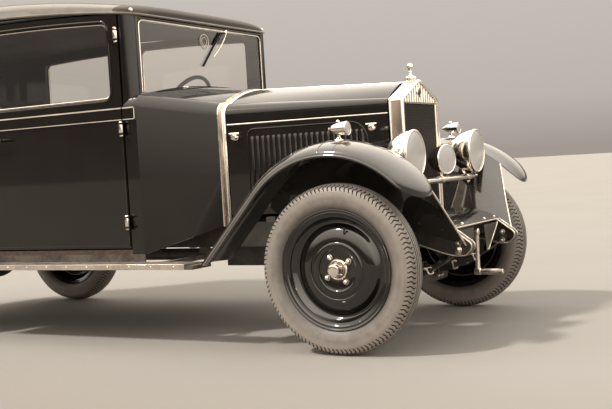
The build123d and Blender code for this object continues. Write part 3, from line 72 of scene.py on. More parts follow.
def arc3(a, b, c, steps):
    """Points of the arc from a through b to c, flat points in any plane."""
    ax, ay = a
    bx, by = b
    cx, cy = c
    d = 2 * (ax * (by - cy) + bx * (cy - ay) + cx * (ay - by))
    ux = ((ax**2 + ay**2) * (by - cy) + (bx**2 + by**2) * (cy - ay) + (cx**2 + cy**2) * (ay - by)) / d
    uy = ((ax**2 + ay**2) * (cx - bx) + (bx**2 + by**2) * (ax - cx) + (cx**2 + cy**2) * (bx - ax)) / d
    r = hypot(ax - ux, ay - uy)
    start = atan2(ay - uy, ax - ux)
    middle = atan2(by - uy, bx - ux)
    end = atan2(cy - uy, cx - ux)
    way = 1 if ((middle - start) % tau) < ((end - start) % tau) else -1
    sweep = ((end - start) * way) % tau
    turns = [start + way * sweep * i / steps for i in range(steps + 1)]
    return [(ux + r * cos(t), uy + r * sin(t)) for t in turns]


def smooth_line(points, steps=4):
    """Points of a smooth line through the given ones, of any dimension."""
    last = len(points) - 1
    out = []
    for i in range(last):
        near = [points[max(0, min(last, i + k))] for k in (-1, 0, 1, 2)]
        for step in range(steps):
            t = step / steps
            weights = (
                -0.5 * t + t * t - 0.5 * t**3,
                1 - 2.5 * t * t + 1.5 * t**3,
                0.5 * t + 2 * t * t - 1.5 * t**3,
                -0.5 * t * t + 0.5 * t**3,
            )
            out.append(tuple(sum(w * p[k] for w, p in zip(weights, near)) for k in range(len(near[0]))))
    out.append(tuple(points[-1]))
    return out


def across(direction):
    """Two unit vectors at right angles to a direction and to each other."""
    n = Vector(direction).normalized()
    helper = Vector(UP) if abs(n.z) < 0.9 else Vector(AHEAD)
    u = helper.cross(n).normalized()
    return u, n.cross(u)


def circle(centre, u, w, radius, sides):
    """Points round a centre, in the plane of two unit vectors."""
    turns = [tau * i / sides for i in range(sides)]
    return [centre + (u * cos(t) + w * sin(t)) * radius for t in turns]


def quarter(a, b, radius, start):
    """Five flat points of a quarter circle round a centre, from an angle in degrees."""
    turns = [radians(start + 22.5 * i) for i in range(5)]
    return [(a + radius * cos(t), b + radius * sin(t)) for t in turns]


class Form:
    """Vertices and faces gathered for one piece, in millimetres from the front axle's line.

    A finish is given as its place in the list of materials that the piece gets at the end.
    """

    def __init__(self):
        self.points = []
        self.faces = []
        self.finishes = []

    def add(self, points, faces, finish=0):
        """Takes up points, and faces that count from the first of them."""
        base = len(self.points)
        self.points += [tuple(p) for p in points]
        self.faces += [tuple(base + i for i in face) for face in faces]
        self.finishes += [finish] * len(faces)
        return self

    def skin(self, rows, finish=0, ring=False, hoop=False, ends=False):
        """Quads between rows of points: ring joins each row's ends, hoop the last row to the first."""
        count = len(rows[0])
        points = [p for line in rows for p in line]
        faces = []
        for i in range(len(rows) if hoop else len(rows) - 1):
            after = (i + 1) % len(rows)
            for j in range(count if ring else count - 1):
                k = (j + 1) % count
                faces.append((i * count + j, i * count + k, after * count + k, after * count + j))
        if ends:
            faces.append(tuple(range(count)))
            faces.append(tuple((len(rows) - 1) * count + j for j in reversed(range(count))))
        return self.add(points, faces, finish)

    def turned(self, profile, centre, axis, sides=48, finish=0, ends=True):
        """Surface of revolution from radius and distance pairs along an axis."""
        n = Vector(axis).normalized()
        u, w = across(n)
        c = Vector(centre)
        rows = [circle(c + n * a, u, w, max(r, 0.01), sides) for r, a in profile]
        return self.skin(rows, finish, ring=True, ends=ends)

    def tube(self, path, radius, sides=12, finish=0, closed=False):
        """Round bar along a path, of one radius or of one for each point."""
        points = [Vector(p) for p in path]
        count = len(points)
        radii = radius if isinstance(radius, list) else [radius] * count
        rows = []
        u = None
        for i, (p, r) in enumerate(zip(points, radii)):
            if closed:
                way = points[(i + 1) % count] - points[i - 1]
            else:
                way = points[min(i + 1, count - 1)] - points[max(i - 1, 0)]
            way.normalize()
            u = across(way)[0] if u is None else (u - way * u.dot(way)).normalized()
            rows.append(circle(p, u, way.cross(u), r, sides))
        return self.skin(rows, finish, ring=True, hoop=closed, ends=not closed)

    def bar(self, corner, opposite, finish=0):
        """Box between two opposite corners."""
        points = product(*(sorted(pair) for pair in zip(corner, opposite)))
        faces = [(0, 1, 3, 2), (4, 6, 7, 5), (0, 4, 5, 1), (2, 3, 7, 6), (0, 2, 6, 4), (1, 5, 7, 3)]
        return self.add(points, faces, finish)

    def prism(self, outline, origin, u, w, depth, finish=0):
        """Flat outline in two directions from an origin, given a depth along their cross product."""
        o, u, w = Vector(origin), Vector(u), Vector(w)
        n = u.cross(w).normalized()
        rows = [[o + u * a + w * b + n * d for a, b in outline] for d in (0, depth)]
        return self.skin(rows, finish, ring=True, ends=True)

    def sheet(self, rows, shift):
        """Sheet with a thickness: the rows and the same rows shifted, closed at all edges."""
        move = Vector(shift)
        doubled = []
        for line in rows:
            doubled.append([Vector(p) for p in line] + [Vector(p) + move for p in reversed(line)])
        return self.skin(doubled, ring=True, ends=True)

    def nut(self, centre, direction, width=16.0, height=9.0, finish=0):
        """Hexagon nut with a washer and a rounded end."""
        n = Vector(direction).normalized()
        c = Vector(centre)
        self.turned([(width * 0.62, 0), (width * 0.62, 1.6), (width * 0.5, 1.8)], c, n, 20, finish)
        u, w = across(n)
        hexagon = [(0.52, 0.8), (0.56, 1.8), (0.56, height * 0.8), (0.50, height)]
        rows = [circle(c + n * a, u, w, width * r, 6) for r, a in hexagon]
        self.skin(rows, finish, ring=True, ends=True)
        r = width * 0.3
        end = [(r, height - 0.5), (r, height + 2), (r * 0.8, height + 4), (r * 0.4, height + 5)]
        return self.turned(end, c, n, 14, finish)

    def mirrored(self):
        """This form and its twin on the other side of the middle plane."""
        base = len(self.points)
        self.points += [(x, -y, z) for x, y, z in self.points]
        self.faces += [tuple(base + i for i in reversed(face)) for face in self.faces]
        self.finishes *= 2
        return self

    def piece(self, name, finishes, body, slot, stands_for=(), bevel=0.0, angle=SMOOTH_ANGLE,
              turn_out=True, marks=None):
        """The finished object: it rides on a body; its slot of the record is not used."""
        mesh = bpy.data.meshes.new(name)
        mesh.from_pydata([row(p) for p in self.points], [], self.faces)
        for finish in finishes:
            mesh.materials.append(finish)
        mesh.polygons.foreach_set("material_index", self.finishes)
        if marks:
            layer = mesh.attributes.new("mark", "FLOAT", "POINT")
            layer.data.foreach_set("value", marks)
        work = bmesh.new()
        work.from_mesh(mesh)
        if not marks:
            bmesh.ops.remove_doubles(work, verts=work.verts, dist=1e-5)
        bmesh.ops.dissolve_degenerate(work, dist=1e-6, edges=work.edges)
        if turn_out:
            bmesh.ops.recalc_face_normals(work, faces=work.faces)
        work.to_mesh(mesh)
        work.free()
        mesh.shade_smooth()
        mesh.set_sharp_from_angle(angle=angle)
        obj = bpy.data.objects.new(name, mesh)
        bpy.context.scene.collection.objects.link(obj)
        if bevel:
            edge = obj.modifiers.new("edges", "BEVEL")
            edge.width = bevel / 1000
            edge.segments = 2
            edge.limit_method = "ANGLE"
            edge.angle_limit = radians(40)
            edge.use_clamp_overlap = True
        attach(obj, body)
        if stands_for:
            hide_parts(*stands_for)
        return obj


# Shared effects
def new_group(name, given, results):
    """Node group of number sockets: its tree, its inputs with their first values, and its outputs."""
    group = bpy.data.node_groups.new(name, "ShaderNodeTree")
    for label, value in given.items():
        socket = group.interface.new_socket(label, in_out="INPUT", socket_type="NodeSocketFloat")
        socket.default_value = value
    for label in results:
        group.interface.new_socket(label, in_out="OUTPUT", socket_type="NodeSocketFloat")
    return group, group.nodes.new("NodeGroupInput").outputs, group.nodes.new("NodeGroupOutput").inputs


def math_node(tree, kind, a, b=None, c=None, clamp=False):
    """Math node fed by sockets or numbers."""
    node = tree.nodes.new("ShaderNodeMath")
    node.operation = kind
    node.use_clamp = clamp
    for socket, value in zip(node.inputs, (a, b, c)):
        if isinstance(value, (int, float)):
            socket.default_value = value
        elif value is not None:
            tree.links.new(value, socket)
    return node.outputs[0]


def noise_node(tree, place, scale, detail=4.0, rough=0.55):
    """Noise value at a place."""
    node = tree.nodes.new("ShaderNodeTexNoise")
    node.inputs["Detail"].default_value = detail
    node.inputs["Roughness"].default_value = rough
    tree.links.new(place, node.inputs["Vector"])
    if isinstance(scale, (int, float)):
        node.inputs["Scale"].default_value = scale
    else:
        tree.links.new(scale, node.inputs["Scale"])
    return node.outputs["Fac"]


def ramp_node(tree, value, low, high):
    """Value that runs from 0 at low to 1 at high."""
    node = tree.nodes.new("ShaderNodeMapRange")
    node.interpolation_type = "SMOOTHSTEP"
    tree.links.new(value, node.inputs["Value"])
    node.inputs["From Min"].default_value = low
    node.inputs["From Max"].default_value = high
    return node.outputs["Result"]


def place_node(tree, stretch=None):
    """The piece's own coordinates, in metres, stretched if asked."""
    place = tree.nodes.new("ShaderNodeTexCoord").outputs["Object"]
    if stretch is None:
        return place
    node = tree.nodes.new("ShaderNodeMapping")
    node.inputs["Scale"].default_value = stretch
    tree.links.new(place, node.inputs["Vector"])
    return node.outputs["Vector"]


def axis_node(tree, vector, axis):
    """One axis of a vector."""
    node = tree.nodes.new("ShaderNodeSeparateXYZ")
    tree.links.new(vector, node.inputs[0])
    return node.outputs[axis]


def stripe_node(tree, axis, pitch):
    """Wave along one of the piece's axes, from -1 to 1, with its pitch in metres."""
    place = axis_node(tree, place_node(tree), axis)
    return math_node(tree, "SINE", math_node(tree, "MULTIPLY", place, tau / pitch))


def make_dust_group():
    """Road dust: thicker on upward faces and near the ground, broken up in patches."""
    tree, given, result = new_group("road_dust", {"Amount": 0.3, "Patch": 6.0}, ["Dust"])
    place = place_node(tree)
    normal = tree.nodes.new("ShaderNodeNewGeometry").outputs["Normal"]
    facing = ramp_node(tree, axis_node(tree, normal, "Z"), -0.2, 1.0)
    low = ramp_node(tree, axis_node(tree, place, "Z"), 0.75, 0.1)
    settle = math_node(tree, "MULTIPLY_ADD", low, 0.9, 0.22)
    cover = math_node(tree, "MULTIPLY_ADD", facing, 0.75, settle)
    patches = ramp_node(tree, noise_node(tree, place, given["Patch"], 6.0, 0.65), 0.32, 0.72)
    fine = ramp_node(tree, noise_node(tree, place, 140.0, 3.0), 0.25, 0.8)
    broken = math_node(tree, "MULTIPLY_ADD", patches, 0.7, math_node(tree, "MULTIPLY", fine, 0.3))
    mask = math_node(tree, "MULTIPLY", cover, broken)
    tree.links.new(math_node(tree, "MULTIPLY", mask, given["Amount"], clamp=True), result["Dust"])
    return tree


def make_wear_group():
    """Worn edges: where the surface bends sharply, broken up by noise."""
    tree, given, result = new_group("edge_wear", {"Amount": 0.5, "Width": 0.002}, ["Wear"])
    bevel = tree.nodes.new("ShaderNodeBevel")
    bevel.samples = 4
    tree.links.new(given["Width"], bevel.inputs["Radius"])
    dot = tree.nodes.new("ShaderNodeVectorMath")
    dot.operation = "DOT_PRODUCT"
    tree.links.new(bevel.outputs[0], dot.inputs[0])
    tree.links.new(tree.nodes.new("ShaderNodeNewGeometry").outputs["Normal"], dot.inputs[1])
    bend = ramp_node(tree, dot.outputs["Value"], 0.995, 0.86)
    broken = ramp_node(tree, noise_node(tree, place_node(tree), 45.0, 5.0), 0.38, 0.66)
    wear = math_node(tree, "MULTIPLY", bend, broken)
    tree.links.new(math_node(tree, "MULTIPLY", wear, given["Amount"], clamp=True), result["Wear"])
    return tree


def make_grain_group():
    """Fine even grain: a height for a bump and a cloudy value for colour and roughness."""
    tree, given, result = new_group("fine_grain", {"Scale": 300.0, "Wave": 9.0}, ["Height", "Cloud"])
    place = place_node(tree)
    tree.links.new(noise_node(tree, place, given["Scale"], 3.0), result["Height"])
    tree.links.new(noise_node(tree, place, given["Wave"], 5.0), result["Cloud"])
    return tree


def make_hide_group():
    """Leather: pebbled cells with creases, and a height for the bump."""
    tree, given, result = new_group("hide_grain", {"Scale": 260.0}, ["Height", "Crease"])
    place = place_node(tree)
    cells = tree.nodes.new("ShaderNodeTexVoronoi")
    cells.feature = "DISTANCE_TO_EDGE"
    tree.links.new(place, cells.inputs["Vector"])
    tree.links.new(given["Scale"], cells.inputs["Scale"])
    pebble = ramp_node(tree, cells.outputs["Distance"], 0.0, 0.28)
    crease = ramp_node(tree, noise_node(tree, place, 14.0, 6.0, 0.7), 0.45, 0.62)
    folds = math_node(tree, "MULTIPLY", crease, 0.8)
    tree.links.new(math_node(tree, "MULTIPLY_ADD", pebble, 0.6, folds), result["Height"])
    tree.links.new(crease, result["Crease"])
    return tree


def make_weave_group():
    """Cloth: two crossed sets of threads, as a height and a mask of the upper threads."""
    tree, given, result = new_group("plain_weave", {"Scale": 500.0}, ["Height", "Thread"])
    place = place_node(tree)
    bands = []
    for direction in ("X", "Y"):
        wave = tree.nodes.new("ShaderNodeTexWave")
        wave.bands_direction = direction
        wave.inputs["Distortion"].default_value = 0.6
        wave.inputs["Detail Scale"].default_value = 3.0
        tree.links.new(place, wave.inputs["Vector"])
        tree.links.new(given["Scale"], wave.inputs["Scale"])
        bands.append(wave.outputs["Fac"])
    tree.links.new(math_node(tree, "MAXIMUM", *bands), result["Height"])
    tree.links.new(bands[0], result["Thread"])
    return tree


DUST = make_dust_group()
WEAR = make_wear_group()
GRAIN = make_grain_group()
HIDE = make_hide_group()
WEAVE = make_weave_group()
DUST_COLOUR = (0.42, 0.36, 0.29)
OLD_GLASS_IOR = 1.46


def shade(colour, factor):
    """A colour made darker or lighter."""
    return [c * factor for c in colour]


class Finish:
    """One material in the making: its node tree, its shader and the steps that feed it."""

    def __init__(self, name, colour, roughness, metallic=0.0, coat=0.0, coat_rough=0.04):
        self.material = bpy.data.materials.new(name)
        self.material.use_nodes = True
        self.material.diffuse_color = (*colour, 1.0)
        self.tree = self.material.node_tree
        self.shader = self.tree.nodes["Principled BSDF"]
        self.colour = (*colour, 1.0)
        self.colour_socket = None
        self.rough_socket = None
        self.roughness = roughness
        self.shader.inputs["Metallic"].default_value = metallic
        self.shader.inputs["Coat Weight"].default_value = coat
        self.shader.inputs["Coat Roughness"].default_value = coat_rough

    def group(self, tree, **values):
        """Places a shared effect with its own values."""
        node = self.tree.nodes.new("ShaderNodeGroup")
        node.node_tree = tree
        for label, value in values.items():
            node.inputs[label].default_value = value
        return node.outputs

    def tint(self, mask, colour, strength=1.0):
        """Mixes another colour in where the mask is high."""
        mix = self.tree.nodes.new("ShaderNodeMix")
        mix.data_type = "RGBA"
        if strength != 1.0:
            mask = math_node(self.tree, "MULTIPLY", mask, strength)
        self.tree.links.new(mask, mix.inputs[0])
        if self.colour_socket is None:
            mix.inputs[6].default_value = self.colour
        else:
            self.tree.links.new(self.colour_socket, mix.inputs[6])
        mix.inputs[7].default_value = (*colour, 1.0)
        self.colour_socket = mix.outputs[2]
        return self

    def blend(self, value, low, high, colour, strength=1.0):
        """Mixes another colour in as a value runs from low to high."""
        return self.tint(ramp_node(self.tree, value, low, high), colour, strength)

    def rougher(self, mask, amount):
        """Adds roughness where the mask is high."""
        more = math_node(self.tree, "MULTIPLY", mask, amount)
        base = self.roughness if self.rough_socket is None else self.rough_socket
        self.rough_socket = math_node(self.tree, "ADD", more, base, clamp=True)
        return self

    def dusty(self, amount, patch=6.0, strength=1.0, rough=0.0, colour=DUST_COLOUR):
        """Road dust over what was mixed before, and the roughness it brings."""
        mask = self.group(DUST, Amount=amount, Patch=patch)["Dust"]
        self.tint(mask, colour, strength)
        return self.rougher(mask, rough) if rough else self

    def bump(self, height, depth, strength):
        """Bump from a height, with its depth in metres."""
        node = self.tree.nodes.new("ShaderNodeBump")
        node.inputs["Distance"].default_value = depth
        node.inputs["Strength"].default_value = strength
        self.tree.links.new(height, node.inputs["Height"])
        self.tree.links.new(node.outputs[0], self.shader.inputs["Normal"])
        return self

    def done(self):
        """Links what was built and returns the material."""
        if self.colour_socket is None:
            self.shader.inputs["Base Color"].default_value = self.colour
        else:
            self.tree.links.new(self.colour_socket, self.shader.inputs["Base Color"])
        if self.rough_socket is None:
            self.shader.inputs["Roughness"].default_value = self.roughness
        else:
            self.tree.links.new(self.rough_socket, self.shader.inputs["Roughness"])
        return self.material


# Materials
def make_enamel(name, colour, dust, polish=0.16, coat=0.75, coat_ior=1.5):
    """Deep coach enamel with a clear gloss, road dust and a slight ripple."""
    finish = Finish(name, colour, polish, coat=coat, coat_rough=0.03)
    finish.shader.inputs["Coat IOR"].default_value = coat_ior
    finish.shader.inputs["Specular IOR Level"].default_value = 0.15
    grain = finish.group(GRAIN, Scale=650.0, Wave=7.0)
    finish.blend(grain["Cloud"], 0.35, 0.75, shade(colour, 1.7), 0.7)
    finish.dusty(dust, rough=0.6).rougher(grain["Cloud"], 0.08)
    return finish.bump(grain["Height"], 0.00006, 0.25).done()


def make_satin_black(name, colour, dust):
    """Chassis paint, chipped at its edges and dusty."""
    finish = Finish(name, colour, 0.42, coat=0.15, coat_rough=0.3)
    grain = finish.group(GRAIN, Scale=420.0, Wave=16.0)
    finish.tint(finish.group(WEAR, Amount=0.5, Width=0.0018)["Wear"], (0.16, 0.12, 0.09))
    finish.dusty(dust, 9.0, rough=0.45).rougher(grain["Cloud"], 0.2)
    return finish.bump(grain["Height"], 0.0003, 0.35).done()


def make_plate(name, colour, roughness, tarnish, dust=0.05, wave=28.0):
    """Plated metal: polished, with faint cloudy tarnish and dust."""
    finish = Finish(name, colour, roughness, metallic=1.0)
    grain = finish.group(GRAIN, Scale=900.0, Wave=wave)
    cloud = ramp_node(finish.tree, grain["Cloud"], 0.44, 0.66)
    finish.tint(cloud, shade(colour, 0.42), tarnish).rougher(cloud, tarnish * 0.5)
    finish.dusty(dust, 20.0, 0.7, rough=0.5)
    return finish.bump(grain["Height"], 0.00005, 0.2).done()


def make_iron(name, colour, rust):
    """Cast or heated iron with a sandy skin and rust."""
    finish = Finish(name, colour, 0.6, metallic=0.55)
    grain = finish.group(GRAIN, Scale=260.0, Wave=22.0)
    finish.blend(grain["Cloud"], 0.45, 0.7, (0.17, 0.085, 0.045), rust)
    finish.tint(finish.group(WEAR, Amount=0.5, Width=0.002)["Wear"], (0.34, 0.30, 0.26))
    finish.rougher(grain["Cloud"], 0.3)
    return finish.bump(grain["Height"], 0.0006, 0.5).done()


def make_tyre_rubber(name, colour, dust, wall=False):
    """Dry tyre rubber with dust in streaks; a wall gets painted shade at the rim and a painted highlight at
    the shoulder.
    """
    finish = Finish(name, colour, 0.46)
    finish.shader.inputs["Specular IOR Level"].default_value = 0.62
    grain = finish.group(GRAIN, Scale=330.0, Wave=24.0)
    finish.blend(grain["Cloud"], 0.3, 0.75, shade(colour, 0.62), 0.75)
    if wall:
        # Painted shade: the wall darkens towards the rim; painted highlight: it pales towards the shoulder.
        mark = finish.tree.nodes.new("ShaderNodeAttribute")
        mark.attribute_name = "mark"
        finish.blend(mark.outputs["Fac"], 0.42, 0.0, shade(colour, 0.28), 0.85)
        finish.blend(mark.outputs["Fac"], 0.45, 0.72, shade(colour, 1.35), 0.55)
    streaks = noise_node(finish.tree, place_node(finish.tree), 70.0, 6.0, 0.7)
    finish.blend(streaks, 0.52, 0.7, DUST_COLOUR, dust)
    return finish.bump(grain["Height"], 0.0005, 0.5).done()


def make_black_and_gap_shade(name):
    """Dead black for black parts, and painted shade in deep gaps and open slots."""
    colour = (0.006, 0.005, 0.004)
    finish = Finish(name, colour, 0.9)
    grain = finish.group(GRAIN, Scale=300.0, Wave=20.0)
    return finish.tint(grain["Cloud"], shade(colour, 2.2)).done()


def make_honeycomb(name):
    """Radiator core: rows of small cells whose near-black colour is painted shade in their depth, with
    slightly lighter black wall edges.
    """
    finish = Finish(name, (0.006, 0.005, 0.0045), 0.6)
    finish.shader.inputs["Specular IOR Level"].default_value = 0.15
    walls = [ramp_node(finish.tree, stripe_node(finish.tree, axis, 0.0075), 0.55, 0.95) for axis in "YZ"]
    edge = math_node(finish.tree, "MAXIMUM", *walls)
    # The cells stay near black as painted shade, and the wall edges between them are lighter.
    finish.tint(edge, (0.045, 0.036, 0.028))
    grain = finish.group(GRAIN, Scale=300.0, Wave=14.0)
    finish.blend(grain["Cloud"], 0.5, 0.8, (0.05, 0.038, 0.028), 0.25)
    return finish.bump(edge, 0.003, 0.9).done()


def make_glass(name):
    """Old flat glass with a trace of dust."""
    finish = Finish(name, (0.96, 0.95, 0.92), 0.0)
    finish.shader.inputs["Transmission Weight"].default_value = 1.0
    finish.shader.inputs["IOR"].default_value = OLD_GLASS_IOR
    return finish.dusty(0.03, 3.0, rough=0.35, colour=(0.8, 0.75, 0.68)).done()


def make_lens(name):
    """Lamp glass with upright flutes, given a near-white base colour that is a painted reflection of the
    bright sky.
    """
    # Near-white base colour: painted reflection of the bright sky.
    finish = Finish(name, (1.0, 0.98, 0.94), 0.10)
    finish.shader.inputs["Transmission Weight"].default_value = 0.12
    finish.shader.inputs["IOR"].default_value = OLD_GLASS_IOR
    return finish.bump(stripe_node(finish.tree, "Y", 0.013), 0.0006, 0.35).done()


def make_hide(name, colour):
    """Worn upholstery leather."""
    finish = Finish(name, colour, 0.42)
    finish.shader.inputs["Specular IOR Level"].default_value = 0.45
    hide = finish.group(HIDE, Scale=330.0)
    grain = finish.group(GRAIN, Scale=500.0, Wave=5.0)
    finish.blend(grain["Cloud"], 0.4, 0.7, shade(colour, 1.5), 0.8)
    finish.tint(hide["Crease"], shade(colour, 0.6), 0.5).rougher(grain["Cloud"], 0.3)
    return finish.bump(hide["Height"], 0.0006, 0.5).done()


def make_cloth(name, colour, scale, sheen=0.0, depth=0.0004):
    """Woven or coated cloth."""
    finish = Finish(name, colour, 0.72)
    finish.shader.inputs["Sheen Weight"].default_value = sheen
    weave = finish.group(WEAVE, Scale=scale)
    grain = finish.group(GRAIN, Scale=420.0, Wave=4.0)
    finish.tint(weave["Thread"], shade(colour, 1.45), 0.6)
    finish.blend(grain["Cloud"], 0.42, 0.72, shade(colour, 0.65), 0.7)
    return finish.dusty(0.35, 5.0, 0.7).bump(weave["Height"], depth, 0.6).done()


def make_wood(name, colour, gloss):
    """Varnished or bare board with long grain."""
    finish = Finish(name, colour, 0.35 if gloss else 0.7, coat=0.8 if gloss else 0.0, coat_rough=0.06)
    bands = noise_node(finish.tree, place_node(finish.tree, (6.0, 1.2, 30.0)), 6.0, 8.0, 0.62)
    return finish.blend(bands, 0.35, 0.65, shade(colour, 0.42)).bump(bands, 0.0004, 0.3).done()


def make_mat(name):
    """Running board mat: worn black rubber."""
    finish = Finish(name, (0.030, 0.026, 0.022), 0.7)
    grain = finish.group(GRAIN, Scale=380.0, Wave=14.0)
    finish.dusty(0.75, 10.0).rougher(grain["Cloud"], 0.2)
    return finish.bump(grain["Height"], 0.0004, 0.5).done()


def make_bakelite(name):
    """Hard black moulding, polished by hands."""
    finish = Finish(name, (0.022, 0.017, 0.013), 0.22, coat=0.5, coat_rough=0.1)
    grain = finish.group(GRAIN, Scale=300.0, Wave=18.0)
    return finish.rougher(grain["Cloud"], 0.15).bump(grain["Height"], 0.0001, 0.3).done()


body_enamel = make_enamel("body_enamel", (0.0085, 0.0064, 0.0050), 0.025)
wing_enamel = make_enamel("wing_enamel", (0.012, 0.0095, 0.0076), 0.12, 0.18, coat=1.0, coat_ior=1.62)
wheel_enamel = make_enamel("wheel_enamel", (0.006, 0.0045, 0.0036), 0.02, 0.12, coat=0.9, coat_ior=1.6)
chassis_black = make_satin_black("chassis_black", (0.012, 0.0095, 0.0078), 0.22)
nickel = make_plate("nickel", (0.86, 0.80, 0.73), 0.12, 0.25)
# Darker nickel: painted shade in the cowl band's groove and a painted dark reflection on the radiator shell's
# sides.
nickel_painted_dark = make_plate("nickel_painted_dark", (0.34, 0.285, 0.235), 0.16, 0.85, 0.05, 9.0)
# Heavy cloudy tarnish, partly real tarnish and partly a painted dark reflection on the radiator shell.
nickel_tarnish_and_dark_reflection = make_plate("nickel_tarnish_and_dark_reflection", (0.80, 0.73, 0.645), 0.20, 0.75, 0.1, 11.0)
bright_steel = make_plate("bright_steel", (0.62, 0.56, 0.49), 0.30, 0.55, 0.2)
engine_iron = make_iron("engine_iron", (0.095, 0.083, 0.072), 0.45)
exhaust_steel = make_iron("exhaust_steel", (0.16, 0.12, 0.09), 0.8)
tyre_side = make_tyre_rubber("tyre_side", (0.37, 0.325, 0.285), 0.18, wall=True)
tyre_tread = make_tyre_rubber("tyre_tread", (0.34, 0.298, 0.26), 0.35)
# Near-black groove rubber: painted shade in the tread's recesses.
tyre_groove_shade = make_tyre_rubber("tyre_groove_shade", (0.030, 0.024, 0.020), 0.12)
black_and_gap_shade = make_black_and_gap_shade("black_and_gap_shade")
core_mesh = make_honeycomb("core_mesh")
window_glass = make_glass("window_glass")
lens_glass = make_lens("lens_glass")
seat_hide = make_hide("seat_hide", (0.115, 0.072, 0.045))
roof_cloth = make_cloth("roof_cloth", (0.055, 0.044, 0.034), 420.0)
lining_cloth = make_cloth("lining_cloth", (0.085, 0.068, 0.050), 520.0, sheen=0.05)
carpet = make_cloth("carpet", (0.060, 0.046, 0.034), 160.0, sheen=0.1, depth=0.0015)
board_mat = make_mat("board_mat")
floor_boards = make_wood("floor_boards", (0.14, 0.095, 0.06), False)
dash_walnut = make_wood("dash_walnut", (0.16, 0.085, 0.045), True)
bakelite = make_bakelite("bakelite")
cream_line = make_enamel("cream_line", (0.74, 0.67, 0.57), 0.05)
bead_enamel = make_enamel("bead_enamel", (0.022, 0.017, 0.013), 0.03, 0.08)
roof_top = make_enamel("roof_top", (0.036, 0.029, 0.022), 0.12, 0.46, coat=0.06)
roof_side = make_enamel("roof_side", (0.17, 0.146, 0.12), 0.10, 0.34, coat=0.3)
roof_bead = make_enamel("roof_bead", (0.20, 0.165, 0.13), 0.1, 0.25)
blank_plate = make_enamel("blank_plate", (0.012, 0.010, 0.009), 0.2)
dial_face = make_enamel("dial_face", (0.62, 0.56, 0.46), 0.0)
mirror_silver = make_plate("mirror_silver", (0.90, 0.87, 0.82), 0.04, 0.05, 0.0)
ruby_glass = make_enamel("ruby_glass", (0.16, 0.045, 0.030), 0.05)


# Stage
CAMERA_PLACE = (2103.2, -4679.7, 845.3)
CAMERA_RIGHT = (0.8688, 0.4914, -0.0599)
CAMERA_FORWARD = (-0.4940, 0.8685, -0.0411)
CAMERA_LENS = 61.22
SUN_WAY = (0.42, 0.50, -0.76)
# Sky by height, from straight down (0) to straight up (1): what the eye and glass see, what gloss shows
SEEN_SKY = [
    (0.0, (0.45, 0.40, 0.35)),
    (0.50, (0.36, 0.32, 0.285)),
    (0.525, (0.50, 0.455, 0.415)),
    (0.60, (0.60, 0.55, 0.505)),
    (0.74, (0.95, 0.92, 0.87)),
    (1.0, (1.0, 0.98, 0.95)),
]
GLOSS_SKY = [
    (0.0, (0.16, 0.14, 0.12)),
    (0.50, (0.07, 0.06, 0.05)),
    (0.56, (0.040, 0.033, 0.026)),
    (0.60, (0.10, 0.086, 0.070)),
    (0.64, (0.42, 0.375, 0.315)),
    (0.78, (0.70, 0.63, 0.54)),
    (1.0, (1.0, 0.91, 0.80)),
]
GLOSS_GAIN = 4.0
FRONT_OPENING = 0.15
PLAIN_LIGHT = 0.64
GROUND_REACH = 90000.0


def make_camera():
    """Camera at the photograph's place and angle."""
    forward = Vector(CAMERA_FORWARD).normalized()
    right = Vector(CAMERA_RIGHT)
    right = (right - forward * right.dot(forward)).normalized()
    up = right.cross(forward)
    turn = Matrix((right, up, -forward)).transposed().to_4x4()
    data = bpy.data.cameras.new("camera")
    data.lens = CAMERA_LENS
    data.sensor_width = 36.0
    data.clip_end = 500.0
    camera = bpy.data.objects.new("camera", data)
    camera.matrix_world = Matrix.Translation(row(CAMERA_PLACE)) @ turn
    bpy.context.scene.collection.objects.link(camera)
    bpy.context.scene.camera = camera


def sky_colour(tree, height, stops):
    """Colour of the sky at a height."""
    ramp = tree.nodes.new("ShaderNodeValToRGB")
    while len(ramp.color_ramp.elements) < len(stops):
        ramp.color_ramp.elements.new(0.5)
    for element, (place, colour) in zip(ramp.color_ramp.elements, stops):
        element.position = place
        element.color = (*colour, 1.0)
    tree.links.new(height, ramp.inputs[0])
    return ramp.outputs[0]


def make_sky():
    """Pale sky for the eye, for gloss and for glass, and plain soft light for the rest."""
    world = bpy.data.worlds.new("pale_sky")
    bpy.context.scene.world = world
    world.use_nodes = True
    tree = world.node_tree
    background = tree.nodes["Background"]
    way = tree.nodes.new("ShaderNodeTexCoord").outputs["Generated"]
    height = math_node(tree, "MULTIPLY_ADD", axis_node(tree, way, "Z"), 0.5, 0.5)
    ahead = math_node(tree, "MAXIMUM", axis_node(tree, way, "X"), 0.0)
    open_front = math_node(tree, "MULTIPLY_ADD", ahead, FRONT_OPENING, height)
    bright = tree.nodes.new("ShaderNodeVectorMath")
    bright.operation = "SCALE"
    bright.inputs["Scale"].default_value = GLOSS_GAIN
    tree.links.new(sky_colour(tree, open_front, GLOSS_SKY), bright.inputs[0])
    path = tree.nodes.new("ShaderNodeLightPath").outputs
    opaque = math_node(tree, "SUBTRACT", 1.0, path["Is Transmission Ray"])
    pick = tree.nodes.new("ShaderNodeMix")
    pick.data_type = "RGBA"
    tree.links.new(math_node(tree, "MULTIPLY", opaque, path["Is Glossy Ray"]), pick.inputs[0])
    tree.links.new(sky_colour(tree, height, SEEN_SKY), pick.inputs[6])
    tree.links.new(bright.outputs[0], pick.inputs[7])
    tree.links.new(pick.outputs[2], background.inputs["Color"])
    seen = math_node(tree, "MAXIMUM", path["Is Camera Ray"], path["Is Glossy Ray"])
    seen = math_node(tree, "MAXIMUM", seen, path["Is Transmission Ray"])
    strength = math_node(tree, "MULTIPLY_ADD", seen, 1.0 - PLAIN_LIGHT, PLAIN_LIGHT)
    tree.links.new(strength, background.inputs["Strength"])


